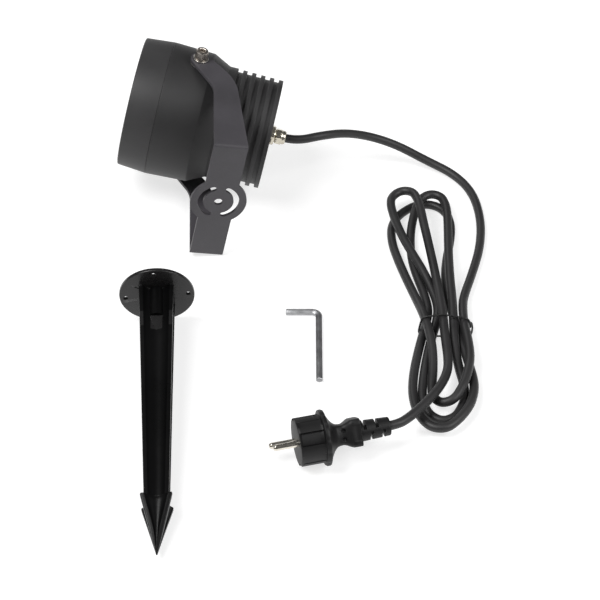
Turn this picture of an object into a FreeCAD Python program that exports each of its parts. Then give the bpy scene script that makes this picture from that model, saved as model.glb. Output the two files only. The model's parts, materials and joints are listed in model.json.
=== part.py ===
"""Projector lamp kit laid out on a table: lamp head in its bracket, ground stake, hex key and mains lead.

Millimetres, +Z up, the table is z = 0 and the origin is under the middle of the lamp, stake and key.
Head frame: origin on the pivot axis, +X along the beam axis to the rear, +Z along the pivot axis.
Bracket frame: the same origin and +Z, -Y towards the web that joins the two arms.
Stake frame: origin in the middle of the mounting face, +Z towards the tip.
Plug frame: origin in the middle of the front face, +X towards the cable.
"""
import FreeCAD, Part
import math
import os
import re

import Sketcher

Vector = FreeCAD.Vector
Rotation = FreeCAD.Rotation
Placement = FreeCAD.Placement
X_AXIS, Y_AXIS, Z_AXIS = Vector(1, 0, 0), Vector(0, 1, 0), Vector(0, 0, 1)

SIZES = [
    # where the pieces lie
    ("lamp_x", -24.75, "pivot centre of the lamp, from the origin"),
    ("lamp_y", 179.1, "pivot centre of the lamp, from the origin"),
    ("lamp_heading", 6.2, "degrees, bracket turned about the vertical"),
    ("lamp_lean", 11.4, "degrees, pivot axis leaning to the right"),
    ("lamp_settle", 2.1, "degrees, bracket web sunk towards the table"),
    ("head_turn", 13.35, "degrees, head turned in its bracket"),
    ("stake_x", -44.3, "middle of the stake's mounting face"),
    ("stake_y", 5.4, "middle of the stake's mounting face"),
    ("stake_heading", 2.65, "degrees, stake turned about the vertical"),
    ("key_x", 82.4, "bend of the hex key, on its centre lines"),
    ("key_y", 11.7, "bend of the hex key, on its centre lines"),
    ("plug_x", 64.9, "middle of the plug's front face"),
    ("plug_y", -143.9, "middle of the plug's front face"),
    ("plug_heading", 13.7, "degrees, plug axis turned about the vertical"),
    ("plug_roll", 47.0, "degrees, plug rolled about its own axis"),
    # front hood and window
    ("front_edge", 48.3, "front edge of the hood, ahead of the pivot"),
    ("seam", 24.3, "joint between hood and housing, ahead of the pivot"),
    ("hood_front_radius", 53.4, "outside of the hood at the front edge"),
    ("seam_radius", 55.5, "outside of hood and housing at their joint"),
    ("edge_break", 0.8, "small chamfer on turned edges"),
    ("window_radius", 47.2, "clear opening in the hood's lip"),
    ("lip_depth", 8.0, "front edge to the back of the lip"),
    ("spigot_radius", 50.0, "housing spigot inside the hood"),
    ("spigot_bore", 46.6, "inside of the spigot"),
    ("thread_gap", 0.1, "radial gap between turned pieces that fit together"),
    ("front_gasket", 1.0, "thickness"),
    ("glass_thickness", 4.0, "front window"),
    ("rear_gasket", 1.5, "thickness"),
    # main housing
    ("cylinder_back", 9.8, "end of the cylindrical part, behind the pivot"),
    ("cylinder_radius", 54.1, "outside there"),
    ("neck_front", 24.4, "end of the cone, behind the pivot"),
    ("neck_radius", 46.9, "outside of the neck"),
    ("neck_back", 31.6, "joint with the heat sink, behind the pivot"),
    ("wall", 3.0, "housing wall"),
    ("boss_radius", 8.0, "pivot boss"),
    ("boss_depth", 10.0, "length of the pivot boss"),
    # heat sink
    ("fin_count", 5, "fins, the rear flange included"),
    ("fin_pitch", 7.64, "fin to fin"),
    ("fin_groove", 4.0, "groove between fins"),
    ("fin_radius", 46.5, "outside of the first fin"),
    ("fin_taper", 0.2, "each fin is this much smaller in radius than the last"),
    ("fin_depth", 2.4, "groove depth"),
    ("sink_spigot", 6.0, "spigot length inside the neck"),
    ("seal_width", 2.0, "seal between housing and heat sink"),
    ("seal_depth", 1.6, "depth of the seal's groove"),
    ("column_radius", 17.0, "light-source column on the heat sink"),
    ("column_front", 12.0, "front of the column, behind the pivot"),
    ("wire_bore", 3.5, "radius of the wire passage"),
    ("wire_exit", 21.0, "cross hole of the wire passage, behind the pivot"),
    # optics and moving pattern
    ("source_radius", 11.5, "light-source board"),
    ("source_thickness", 1.6, "light-source board"),
    ("emitter_radius", 4.5, "emitter"),
    ("emitter_height", 0.8, "emitter"),
    ("collector_back_radius", 5.5, "outside of the collector at the emitter"),
    ("collector_front_radius", 9.6, "outside of the collector at its mouth"),
    ("collector_front", 0.2, "mouth of the collector, behind the pivot"),
    ("collector_wall", 0.8, "collector wall"),
    ("condenser_thickness", 2.6, "condenser lens"),
    ("plate_front", 3.6, "front of the carrier plate, ahead of the pivot"),
    ("plate_thickness", 1.6, "carrier plate"),
    ("plate_radius", 44.0, "carrier plate"),
    ("plate_window", 11.0, "hole for the light in the carrier plate"),
    ("wheel_offset", 18.0, "wheel axis below the beam axis"),
    ("wheel_radius", 27.0, "pattern wheel"),
    ("wheel_thickness", 1.2, "pattern wheel"),
    ("wheel_front", 8.0, "front of the wheel, ahead of the pivot"),
    ("wheel_windows", 8, "pattern windows in the wheel"),
    ("wheel_window_radius", 5.2, "pattern window"),
    ("shaft_radius", 1.0, "motor shaft"),
    ("shaft_gap", 0.05, "radial running gap of the shaft"),
    ("motor_radius", 6.0, "wheel motor"),
    ("motor_length", 12.0, "wheel motor"),
    ("motor_bore_depth", 6.0, "shaft hole in the motor"),
    ("post_radius", 3.0, "posts that carry the plate"),
    ("post_circle", 38.0, "posts, from the beam axis"),
    ("post_angle", 120.0, "degrees between posts"),
    ("screw_head_radius", 2.7, "plate screws"),
    ("screw_head_height", 1.6, "plate screws"),
    ("barrel_radius", 17.0, "outside of the lens barrel"),
    ("barrel_bore", 15.0, "inside of the lens barrel"),
    ("barrel_back", 12.0, "rear end of the barrel, ahead of the pivot"),
    ("mask_thickness", 1.8, "black mask behind the window"),
    ("lens_thickness", 7.0, "projection lens at its edge"),
    ("lens_bulge", 3.0, "height of each lens surface"),
    ("lens_front", 29.6, "front edge of the projection lens, ahead of the pivot"),
    ("ring_thickness", 1.5, "ring that holds the lens"),
    ("ring_bore", 12.6, "ring that holds the lens"),
    # driver
    ("board_width", 38.0, "driver board"),
    ("board_height", 18.0, "driver board"),
    ("board_offset", 29.0, "middle of the driver board, from the beam axis"),
    ("board_thickness", 1.6, "driver board"),
    ("board_back", 19.6, "rear face of the driver board, behind the pivot"),
    ("board_post_radius", 2.2, "posts under the board"),
    ("capacitor_radius", 4.0, "driver board capacitor"),
    ("capacitor_height", 8.0, "driver board capacitor"),
    ("transformer_width", 13.0, "driver board transformer"),
    ("transformer_height", 7.5, "driver board transformer"),
    # cable gland
    ("gland_thread_radius", 6.0, "thread in the heat sink"),
    ("gland_thread_length", 9.0, "thread in the heat sink"),
    ("gland_flats", 15.0, "across the flats of the gland's fixed hexagon"),
    ("gland_hex_height", 3.6, "fixed hexagon"),
    ("gland_top_radius", 5.1, "thread under the clamping nut"),
    ("gland_top_length", 4.5, "thread under the clamping nut"),
    ("nut_flats", 12.0, "across the flats of the clamping nut"),
    ("nut_gap", 0.6, "fixed hexagon to clamping nut"),
    ("nut_height", 5.4, "straight part of the clamping nut"),
    ("nut_dome", 3.2, "rounded end of the clamping nut"),
    ("nut_mouth_radius", 4.6, "outside of the dome at its mouth"),
    ("nut_bore_gap", 0.2, "nut to cable"),
    # pivots
    ("screw_radius", 3.0, "M6 pivot screw"),
    ("screw_gap", 0.1, "screw to its washers and to the housing"),
    ("cap_radius", 5.0, "screw head"),
    ("cap_height", 6.0, "screw head"),
    ("socket_flats", 5.0, "hexagon socket"),
    ("socket_depth", 3.0, "hexagon socket"),
    ("washer_radius", 6.2, "flat washer"),
    ("washer_thickness", 1.4, "flat washer"),
    ("spring_washer_radius", 5.1, "spring washer"),
    ("spring_washer_thickness", 1.5, "spring washer"),
    ("spring_washer_gap", 1.2, "cut in the spring washer"),
    ("thread_engagement", 8.5, "screw inside the boss"),
    ("friction_washer_radius", 8.0, "washer between boss and arm"),
    ("friction_washer_thickness", 1.6, "washer between boss and arm"),
    ("pivot_running_gap", 0.05, "radial, arm on screw"),
    # bracket
    ("sheet", 2.5, "bracket sheet"),
    ("arm_clearance", 1.5, "from the widest part of the head to the inside of each arm"),
    ("bend_radius", 1.5, "inside of each bend"),
    ("web_reach", 104.2, "outer face of the web, from the pivot axis"),
    ("web_offset", 17.2, "middle of the web, behind the pivot axis"),
    ("web_width", 27.1, "web"),
    ("elbow_reach", 40.0, "where the arms turn to the pivot"),
    ("elbow_width", 20.0, "arm width there"),
    ("arm_end_radius", 8.2, "rounded end of the arm"),
    ("arm_bend_radius", 36.0, "curve of the arm's middle line at the elbow"),
    ("disc_radius", 22.6, "round plate in the web"),
    ("centre_hole", 3.4, "radius of the hole in the web"),
    ("slot_radius", 14.4, "middle line of the curved slots"),
    ("slot_width", 4.6, "curved slots"),
    ("slot_angle", 132.0, "degrees, each curved slot between its end centres"),
    # ground stake
    ("flange_radius", 29.4, "stake flange"),
    ("flange_thickness", 3.0, "stake flange"),
    ("flange_hole_circle", 49.0, "diameter of the circle of holes"),
    ("flange_hole", 1.8, "radius of each hole"),
    ("flange_twist", 3.8, "degrees, holes turned against the spike"),
    ("spike_root_width", 27.0, "across the spike at the flange"),
    ("spike_end_width", 18.2, "across the spike above the barbs"),
    ("spike_length", 196.0, "flange to barbs"),
    ("barb_width", 23.2, "across the barbs"),
    ("tip_length", 45.0, "barbs to tip"),
    ("tip_width", 0.8, "blunt tip"),
    ("rib_flat", 3.0, "rib width at the corners"),
    ("root_hollow", 5.4, "depth of the hollow sides at the flange"),
    ("end_hollow", 3.2, "depth of the hollow sides above the barbs"),
    ("post_boss_radius", 6.4, "round screw post in the spike"),
    ("post_boss_length", 28.7, "round screw post"),
    ("post_boss_face", 11.6, "front of the screw post, from the spike's middle"),
    ("post_point", 16.0, "pointed end of the screw post"),
    ("stake_screw_hole", 3.1, "radius of the blind hole in the mounting face"),
    ("stake_screw_depth", 26.0, "blind hole"),
    # hex key
    ("key_flats", 5.0, "across flats"),
    ("key_short", 28.6, "short arm, outside"),
    ("key_long", 77.5, "long arm, outside"),
    ("key_bend", 5.5, "middle line of the bend"),
    # plug
    ("plug_radius", 18.3, "front body"),
    ("plug_front_length", 18.8, "front body"),
    ("plug_collar_radius", 21.0, "collar"),
    ("plug_collar", 3.6, "collar"),
    ("plug_waist", 8.2, "radius of the waist"),
    ("plug_waist_at", 31.6, "waist, behind the front face"),
    ("plug_block_radius", 11.4, "rear block"),
    ("plug_block_front", 40.0, "rear block, behind the front face"),
    ("plug_length", 47.4, "front face to the end of the block"),
    ("plug_recess", 9.0, "width of the earth-contact recesses"),
    ("plug_recess_depth", 2.4, "earth-contact recesses"),
    ("pin_radius", 2.4, "plug pin"),
    ("pin_length", 19.0, "plug pin"),
    ("pin_spacing", 19.0, "pin to pin"),
    ("pin_root", 12.0, "pin inside the body"),
    ("pin_root_radius", 2.0, "pin inside the body"),
    ("sleeve_root_radius", 8.0, "bend sleeve at the plug"),
    ("sleeve_end_radius", 6.9, "bend sleeve at the cable"),
    ("sleeve_length", 23.0, "bend sleeve"),
    ("sleeve_slot", 1.8, "slots in the bend sleeve"),
    # lead
    ("cable_radius", 3.6, "rubber cable"),
    ("hank_height", 14.5, "bundle of loops"),
    ("tie_wire", 1.5, "wire tie"),
    ("tie_y", -11.0, "where the tie goes round the bundle"),
    ("tie_left", 159.5, "left side of the bundle at the tie"),
    ("tie_right", 198.5, "right side of the bundle at the tie"),
]

# Sizes that follow from the ones above.
FOLLOWING = [
    ("arm_outer", "=seam_radius + arm_clearance + sheet", "outer face of each arm, from the beam axis"),
    ("boss_reach", "=arm_outer - sheet - friction_washer_thickness", "outer face of each pivot boss"),
    ("cylinder_bore", "=min(cylinder_radius; seam_radius) - wall", "inside of the cylindrical part"),
]

# Middle line of the cable from the gland to the bundle, after its first two points.
LEAD_ROUTE = [
    (86.0, 173.5, 50.5),
    (106.0, 188.0, 41.5),
    (128.0, 199.0, 28.5),
    (151.0, 203.0, 15.5),
    (175.0, 193.0, 7.2),
    (199.0, 179.0, 3.9),
    (213.5, 155.0, 3.8),
    (218.2, 121.0, 3.8),
    (215.5, 88.0, 3.8),
    (207.0, 56.0, 3.8),
    (197.0, 27.0, 4.6),
    (194.5, 3.0, 6.5),
]
# Middle line of the cable from the bundle towards the plug, before its last two points.
TAIL_ROUTE = [
    (176.5, -66.0, 9.6),
    (169.0, -81.0, 14.5),
    (160.5, -96.0, 17.8),
    (151.0, -111.0, 20.0),
]
# Outline of the bundle, seen from above: upper loops, waist at the tie, lower loops.
HANK_OUTLINE = [
    (163.0, 2.0), (152.0, 44.0), (141.0, 92.0), (144.0, 128.0), (156.0, 145.0), (178.0, 141.0),
    (192.0, 126.0), (194.5, 92.0), (191.0, 48.0), (194.0, 2.0), (197.0, -18.0), (203.0, -50.0),
    (201.0, -86.0), (188.0, -110.0), (170.0, -120.0), (156.0, -104.0), (153.5, -72.0), (160.0, -30.0),
]

doc = FreeCAD.newDocument("projector_lamp_kit")
sheet = doc.addObject("Spreadsheet::Sheet", "Sizes")
for row, (alias, value, meaning) in enumerate(SIZES + FOLLOWING, start=1):
    sheet.set(f"A{row}", alias)
    sheet.set(f"B{row}", str(value))
    sheet.setAlias(f"B{row}", alias)
    sheet.set(f"C{row}", meaning)
doc.recompute()
ALIASES = {alias for alias, _, _ in SIZES + FOLLOWING}
nodes = []


def size(name):
    """Value of one cell of the sheet."""
    return float(getattr(sheet, name))


def bound(text):
    """The expression with the sheet's name before each alias."""
    return re.sub(r"[A-Za-z_]\w*", lambda m: "Sizes." + m[0] if m[0] in ALIASES else m[0], str(text))


def number(text):
    """Value of an expression in the sheet's aliases."""
    value = sheet.evalExpression(bound(text))
    return float(getattr(value, "Value", value))


def keep(piece, label, place):
    """Give a finished piece its node name and its place, and list it for writing."""
    piece.Label = label
    piece.Placement = place
    nodes.append(piece)
    return piece


# ---------------------------------------------------------------- PartDesign helpers

def new_body(label, place=Placement()):
    """A body that becomes one node."""
    return keep(doc.addObject("PartDesign::Body", label), label, place)


def new_sketch(body, role, offset="0"):
    """A sketch on one of the body's own origin planes, moved along the plane's normal."""
    sketch = body.newObject("Sketcher::SketchObject", "Sketch")
    plane = next(part for part in body.Origin.OriginFeatures if part.Role == role)
    sketch.AttachmentSupport = [(plane, "")]
    sketch.MapMode = "FlatFace"
    sketch.setExpression("AttachmentOffset.Base.z", bound(offset))
    return sketch


def pin_point(sketch, geometry, corner, across, along):
    """Hold one point of a sketch at two expressions of the sheet."""
    for kind, text in (("DistanceX", across), ("DistanceY", along)):
        index = sketch.addConstraint(Sketcher.Constraint(kind, -1, 1, geometry, corner, number(text)))
        sketch.setExpression(f"Constraints[{index}]", bound(text))


def polygon(body, role, corners, offset="0"):
    """A sketch of one closed outline whose corners are pairs of expressions."""
    sketch = new_sketch(body, role, offset)
    points = [Vector(number(across), number(along), 0) for across, along in corners]
    count = len(points)
    for i in range(count):
        sketch.addGeometry(Part.LineSegment(points[i], points[(i + 1) % count]))
    for i, (across, along) in enumerate(corners):
        sketch.addConstraint(Sketcher.Constraint("Coincident", (i - 1) % count, 2, i, 1))
        pin_point(sketch, i, 1, across, along)
    return sketch


def circles(body, role, rings, offset="0"):
    """A sketch of circles, each given as centre across, centre along and radius."""
    sketch = new_sketch(body, role, offset)
    for across, along, radius in rings:
        centre = Vector(number(across), number(along), 0)
        index = sketch.addGeometry(Part.Circle(centre, Z_AXIS, number(radius)))
        pin_point(sketch, index, 3, across, along)
        held = sketch.addConstraint(Sketcher.Constraint("Radius", index, number(radius)))
        sketch.setExpression(f"Constraints[{held}]", bound(radius))
    return sketch


def hexagon(body, role, flats, offset="0", across="0", along="0"):
    """A sketch of a hexagon with two corners on the plane's first axis."""
    corner = f"(({flats}) / sqrt(3))"
    turns = [(1, 0), (0.5, 1), (-0.5, 1), (-1, 0), (-0.5, -1), (0.5, -1)]
    points = [(f"{across} + {corner} * {a}", f"{along} + ({flats}) / 2 * {b}") for a, b in turns]
    return polygon(body, role, points, offset)


def pad(body, sketch, length, both_ways=False, backwards=False):
    """Grow a sketch into a solid."""
    feature = body.newObject("PartDesign::Pad", "Pad")
    feature.Profile = sketch
    feature.setExpression("Length", bound(length))
    feature.SideType = "Symmetric" if both_ways else "One side"
    feature.Reversed = backwards
    return feature


def pocket(body, sketch, depth, both_ways=False, backwards=False):
    """Cut a sketch out of the body, and make sure that it took something away."""
    doc.recompute()
    before = body.Shape.Volume
    feature = body.newObject("PartDesign::Pocket", "Pocket")
    feature.Profile = sketch
    feature.setExpression("Length", bound(depth))
    feature.SideType = "Symmetric" if both_ways else "One side"
    feature.Reversed = backwards
    doc.recompute()
    if not body.Shape.Volume < before - 0.01:
        raise RuntimeError(f"{body.Label}: a pocket cut nothing")
    return feature


def revolve(body, sketch, cut=False):
    """Turn a sketch about its own first axis."""
    kind = "PartDesign::Groove" if cut else "PartDesign::Revolution"
    feature = body.newObject(kind, kind.split("::")[1])
    feature.Profile = sketch
    feature.ReferenceAxis = (sketch, ["H_Axis"])
    feature.Angle = 360
    return feature


def turned(label, corners, place):
    """A body turned about its X axis from one outline of (along, radius) corners."""
    body = new_body(label, place)
    revolve(body, polygon(body, "XY_Plane", corners))
    return body


# ---------------------------------------------------------------- Part helpers

def cylinder(radius, height, at=("0", "0", "0"), axis=Z_AXIS):
    """A cylinder primitive from a point along an axis, bound to the sheet."""
    piece = doc.addObject("Part::Cylinder", "Cylinder")
    piece.setExpression("Radius", bound(radius))
    piece.setExpression("Height", bound(height))
    piece.Placement = Placement(Vector(), Rotation(Z_AXIS, axis))
    for letter, text in zip("xyz", at):
        piece.setExpression(f"Placement.Base.{letter}", bound(text))
    return piece


def block(corner, sizes):
    """A box primitive from its lowest corner, bound to the sheet."""
    piece = doc.addObject("Part::Box", "Box")
    for side, text in zip(("Length", "Width", "Height"), sizes):
        piece.setExpression(side, bound(text))
    for letter, text in zip("xyz", corner):
        piece.setExpression(f"Placement.Base.{letter}", bound(text))
    return piece


def hex_prism(flats, height, at, axis=Z_AXIS):
    """A hexagonal prism primitive, bound to the sheet."""
    piece = doc.addObject("Part::Prism", "Prism")
    piece.Polygon = 6
    piece.setExpression("Circumradius", bound(f"({flats}) / sqrt(3)"))
    piece.setExpression("Height", bound(height))
    piece.Placement = Placement(Vector(), Rotation(Z_AXIS, axis))
    for letter, text in zip("xyz", at):
        piece.setExpression(f"Placement.Base.{letter}", bound(text))
    return piece


def cut(base, tool):
    """The base less the tool."""
    piece = doc.addObject("Part::Cut", "Cut")
    piece.Base = base
    piece.Tool = tool
    return piece


def fuse(shapes):
    """Several shapes joined into one solid."""
    piece = doc.addObject("Part::MultiFuse", "Fuse")
    piece.Shapes = shapes
    return piece


def group(label, pieces, place):
    """Identical separate solids that share one node."""
    piece = doc.addObject("Part::Compound", label)
    piece.Links = pieces
    return keep(piece, label, place)


# ---------------------------------------------------------------- where things lie

lying = (Rotation(Z_AXIS, size("lamp_heading")) * Rotation(Y_AXIS, size("lamp_lean"))
         * Rotation(X_AXIS, size("lamp_settle")))
pivot_axis = lying.multVec(Z_AXIS)
screw_reach = number("arm_outer + washer_thickness + spring_washer_thickness + cap_height")
lamp_height = screw_reach * pivot_axis.z + size("cap_radius") * math.sqrt(1 - pivot_axis.z ** 2)
lamp_centre = Vector(size("lamp_x"), size("lamp_y"), lamp_height)
BRACKET = Placement(lamp_centre, lying)
HEAD = Placement(lamp_centre, lying * Rotation(Z_AXIS, -size("head_turn")))

stake_tilt = math.atan2(number("flange_radius - barb_width / 2"), size("spike_length"))
stake_height = (size("flange_radius") * math.cos(stake_tilt)
                + size("flange_thickness") * math.sin(stake_tilt))
STAKE = Placement(
    Vector(size("stake_x"), size("stake_y"), stake_height),
    Rotation(Z_AXIS, size("stake_heading")) * Rotation(X_AXIS, 90 + math.degrees(stake_tilt)))
KEY = Placement(Vector(size("key_x"), size("key_y"), size("key_flats") / 2), Rotation())
PLUG = Placement(
    Vector(size("plug_x"), size("plug_y"), size("plug_collar_radius")),
    Rotation(Z_AXIS, size("plug_heading")) * Rotation(X_AXIS, size("plug_roll")))
TABLE = Placement()


# ---------------------------------------------------------------- hood, window and housing

lip_back = "(-front_edge + lip_depth)"
glass_front = f"({lip_back} + front_gasket)"
glass_back = f"({glass_front} + glass_thickness)"
spigot_front = f"({glass_back} + rear_gasket)"
inner_radius = "(spigot_radius - thread_gap)"
sink_front = "(neck_back - sink_spigot)"
neck_bore = "(neck_radius - wall)"
sink_spigot_radius = f"({neck_bore} - thread_gap)"
rear_face = "(neck_back + fin_count * fin_pitch)"


def make_hood():
    """Hood: a turned ring whose lip holds the window."""
    turned("front_hood", [
        ("-front_edge", "window_radius + edge_break"),
        ("-front_edge", "hood_front_radius - edge_break"),
        ("-front_edge + edge_break", "hood_front_radius"),
        ("-seam - edge_break / 2", "seam_radius"),
        ("-seam", "seam_radius - edge_break / 2"),
        ("-seam", "spigot_radius"),
        (lip_back, "spigot_radius"),
        (lip_back, "window_radius"),
        ("-front_edge + edge_break", "window_radius"),
    ], HEAD)


def make_window():
    """Window glass between two gaskets."""
    def ring(label, front, back, bore):
        turned(label, [(front, bore), (front, inner_radius), (back, inner_radius), (back, bore)], HEAD)

    ring("front_gasket_ring", lip_back, glass_front, "window_radius")
    turned("front_window", [(glass_front, "0"), (glass_front, inner_radius),
                            (glass_back, inner_radius), (glass_back, "0")], HEAD)
    ring("rear_gasket_ring", glass_back, spigot_front, "spigot_bore")


def make_housing():
    """Housing: spigot, cylinder, cone and neck in one casting, with two threaded pivot bosses."""
    body = turned("main_housing", [
        (spigot_front, "spigot_bore"),
        (spigot_front, inner_radius),
        ("-seam", inner_radius),
        ("-seam", "seam_radius - edge_break / 2"),
        ("-seam + edge_break / 2", "seam_radius"),
        ("cylinder_back", "cylinder_radius"),
        ("neck_front", "neck_radius"),
        ("neck_back", "neck_radius - edge_break / 2"),
        ("neck_back", neck_bore),
        ("neck_front", neck_bore),
        ("cylinder_back - 1", "cylinder_bore"),
        ("-seam + wall", "cylinder_bore"),
        ("-seam + wall", "spigot_bore"),
    ], HEAD)
    start = "(boss_reach - boss_depth)"
    boss = pad(body, circles(body, "XY_Plane", [("0", "0", "boss_radius")], start), "boss_depth")
    doc.recompute()
    mirror = body.newObject("PartDesign::Mirrored", "OtherBoss")
    mirror.Originals = [boss]
    plane = next(part for part in body.Origin.OriginFeatures if part.Role == "XY_Plane")
    mirror.MirrorPlane = (plane, [""])
    body.Tip = mirror
    pocket(body, circles(body, "XY_Plane", [("0", "0", "screw_radius")]), "3 * boss_reach", both_ways=True)


def make_heat_sink():
    """Heat sink: fins, a spigot for the housing, a column for the light source and a wire passage."""
    corners = [
        ("column_front", "0"), ("column_front", "column_radius"), (sink_front, "column_radius"),
        (sink_front, sink_spigot_radius),
        (f"{sink_front} + seal_width / 2", sink_spigot_radius),
        (f"{sink_front} + seal_width / 2", f"{sink_spigot_radius} - seal_depth"),
        (f"{sink_front} + 1.5 * seal_width", f"{sink_spigot_radius} - seal_depth"),
        (f"{sink_front} + 1.5 * seal_width", sink_spigot_radius),
        ("neck_back", sink_spigot_radius),
    ]
    for fin in range(int(size("fin_count"))):
        radius = f"(fin_radius - {fin} * fin_taper)"
        groove_start = f"(neck_back + {fin} * fin_pitch)"
        corners += [
            (groove_start, f"{radius} - fin_depth"),
            (f"{groove_start} + fin_groove", f"{radius} - fin_depth"),
            (f"{groove_start} + fin_groove", radius),
            (f"{groove_start} + fin_pitch", radius),
        ]
    corners.append((rear_face, "0"))
    body = turned("finned_heat_sink", corners, HEAD)
    thread_start = f"{rear_face} - gland_thread_length"
    thread = circles(body, "YZ_Plane", [("0", "0", "gland_thread_radius")], thread_start)
    pocket(body, thread, "gland_thread_length", backwards=True)
    bore = circles(body, "YZ_Plane", [("0", "0", "wire_bore")], "wire_exit")
    pocket(body, bore, f"{rear_face} - wire_exit - gland_thread_length", backwards=True)
    cross = circles(body, "XY_Plane", [("wire_exit + wire_bore / 2", "0", "wire_bore")])
    pocket(body, cross, "column_radius + 1", backwards=True)


def make_sink_seal():
    """Flat ring that seals the heat sink in the neck."""
    front, back = f"({sink_front} + seal_width / 2)", f"({sink_front} + 1.5 * seal_width)"
    turned("housing_seal", [
        (front, f"{sink_spigot_radius} - seal_depth"), (front, neck_bore),
        (back, neck_bore), (back, f"{sink_spigot_radius} - seal_depth"),
    ], HEAD)


# ---------------------------------------------------------------- optics and pattern wheel

def make_light_source():
    """Board with its emitter, on the column."""
    board_front = "(column_front - source_thickness)"
    turned("light_source", [
        ("column_front", "0"), ("column_front", "source_radius"), (board_front, "source_radius"),
        (board_front, "emitter_radius"), (f"{board_front} - emitter_height", "emitter_radius"),
        (f"{board_front} - emitter_height", "0"),
    ], HEAD)


def make_collector():
    """Cone that collects the light, with the condenser lens in its mouth."""
    back = "(column_front - source_thickness)"
    turned("collector_cone", [
        (back, "collector_back_radius - collector_wall"), (back, "collector_back_radius"),
        ("collector_front", "collector_front_radius"),
        ("collector_front", "collector_front_radius - collector_wall"),
    ], HEAD)
    turned("condenser_lens", [
        ("collector_front", "0"), ("collector_front", "collector_front_radius"),
        ("collector_front - 1", "collector_front_radius"),
        ("collector_front - condenser_thickness", "collector_front_radius / 2"),
        ("collector_front - condenser_thickness", "0"),
    ], HEAD)


def make_wheel():
    """Pattern wheel on its motor shaft, both turning, and the motor that stays."""
    wheel_place = HEAD * Placement(Vector(0, 0, -size("wheel_offset")), Rotation())
    wheel = new_body("pattern_wheel", wheel_place)
    pad(wheel, circles(wheel, "YZ_Plane", [("0", "0", "wheel_radius"), ("0", "0", "shaft_radius")],
                       "-wheel_front"), "wheel_thickness")
    window = circles(wheel, "YZ_Plane", [("0", "wheel_offset", "wheel_window_radius")], "-wheel_front - 1")
    first = pocket(wheel, window, "wheel_thickness + 2", backwards=True)
    pattern = wheel.newObject("PartDesign::PolarPattern", "Windows")
    pattern.Originals = [first]
    pattern.Axis = (next(part for part in wheel.Origin.OriginFeatures if part.Role == "X_Axis"), [""])
    pattern.Angle = 360
    pattern.setExpression("Occurrences", bound("wheel_windows"))
    wheel.Tip = pattern

    shaft_back = "(-plate_front + plate_thickness + motor_bore_depth - 0.5)"
    group("wheel_shaft", [cylinder("shaft_radius", f"wheel_front + {shaft_back}",
                                   ("-wheel_front", "0", "-wheel_offset"), X_AXIS)], HEAD)
    motor_front = "(-plate_front + plate_thickness)"
    at = (motor_front, "0", "-wheel_offset")
    case = cylinder("motor_radius", "motor_length", at, X_AXIS)
    bore = cylinder("shaft_radius + shaft_gap", "motor_bore_depth", at, X_AXIS)
    keep(cut(case, bore), "wheel_motor", HEAD)


def post_places():
    """Places of the three posts round the beam axis, the first straight down."""
    count = round(360 / size("post_angle"))
    return [(f"post_circle * sin({i} * post_angle)", f"-post_circle * cos({i} * post_angle)")
            for i in range(count)]


def make_carrier():
    """Carrier plate on three posts, with its screws."""
    plate = new_body("carrier_plate", HEAD)
    rings = [("0", "0", "plate_radius"), ("0", "0", "plate_window"),
             ("0", "-wheel_offset", "shaft_radius + 0.5")]
    rings += [(y, z, "screw_head_radius / 2 + thread_gap") for y, z in post_places()]
    pad(plate, circles(plate, "YZ_Plane", rings, "-plate_front"), "plate_thickness")
    posts, screws = [], []
    plate_back = "(-plate_front + plate_thickness)"
    for y, z in post_places():
        posts.append(cut(cylinder("post_radius", f"{sink_front} - {plate_back}", (plate_back, y, z), X_AXIS),
                         cylinder("screw_head_radius / 2", "8", (plate_back, y, z), X_AXIS)))
        head = cylinder("screw_head_radius", "screw_head_height",
                        ("-plate_front - screw_head_height", y, z), X_AXIS)
        shank = cylinder("screw_head_radius / 2", "plate_thickness + 7", ("-plate_front", y, z), X_AXIS)
        screws.append(fuse([head, shank]))
    group("carrier_posts", posts, HEAD)
    group("carrier_screws", screws, HEAD)


def make_lens():
    """Black mask with the lens barrel, the projection lens and the ring that holds it."""
    turned("lens_barrel", [
        (spigot_front, "barrel_bore"), (spigot_front, "spigot_bore - thread_gap"),
        (f"{spigot_front} + mask_thickness", "spigot_bore - thread_gap"),
        (f"{spigot_front} + mask_thickness", "barrel_radius"),
        ("-barrel_back", "barrel_radius"), ("-barrel_back", "barrel_bore - 2"),
        ("-lens_front + lens_thickness", "barrel_bore - 2"),
        ("-lens_front + lens_thickness", "barrel_bore"),
    ], HEAD)
    rim = "(barrel_bore - thread_gap)"
    lens = new_body("projection_lens", HEAD)
    sketch = new_sketch(lens, "XY_Plane")
    front, back = -size("lens_front"), -size("lens_front") + size("lens_thickness")
    radius, bulge = number(rim), size("lens_bulge")
    middle = (front + back) / 2

    def cap(x_edge, direction):
        """Quarter section of a shallow dome from the lens edge to its axis."""
        sphere = (radius ** 2 + bulge ** 2) / (2 * bulge)
        half = math.asin(radius / sphere) / 2
        depth = sphere * math.cos(half) - (sphere - bulge)
        via = Vector(x_edge + direction * depth, sphere * math.sin(half), 0)
        return Part.Arc(Vector(x_edge, radius, 0), via, Vector(x_edge + direction * bulge, 0, 0))

    front_edge, back_edge = front + bulge, back - bulge
    sketch.addGeometry(cap(front_edge, -1))
    sketch.addGeometry(Part.LineSegment(Vector(front, 0, 0), Vector(back, 0, 0)))
    sketch.addGeometry(cap(back_edge, 1))
    sketch.addGeometry(Part.LineSegment(Vector(back_edge, radius, 0), Vector(middle, radius, 0)))
    sketch.addGeometry(Part.LineSegment(Vector(middle, radius, 0), Vector(front_edge, radius, 0)))
    revolve(lens, sketch)
    turned("lens_ring", [
        ("-lens_front - ring_thickness", "ring_bore"), ("-lens_front - ring_thickness", rim),
        ("-lens_front", rim), ("-lens_front", "ring_bore + 1"),
    ], HEAD)


# ---------------------------------------------------------------- driver board

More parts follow.
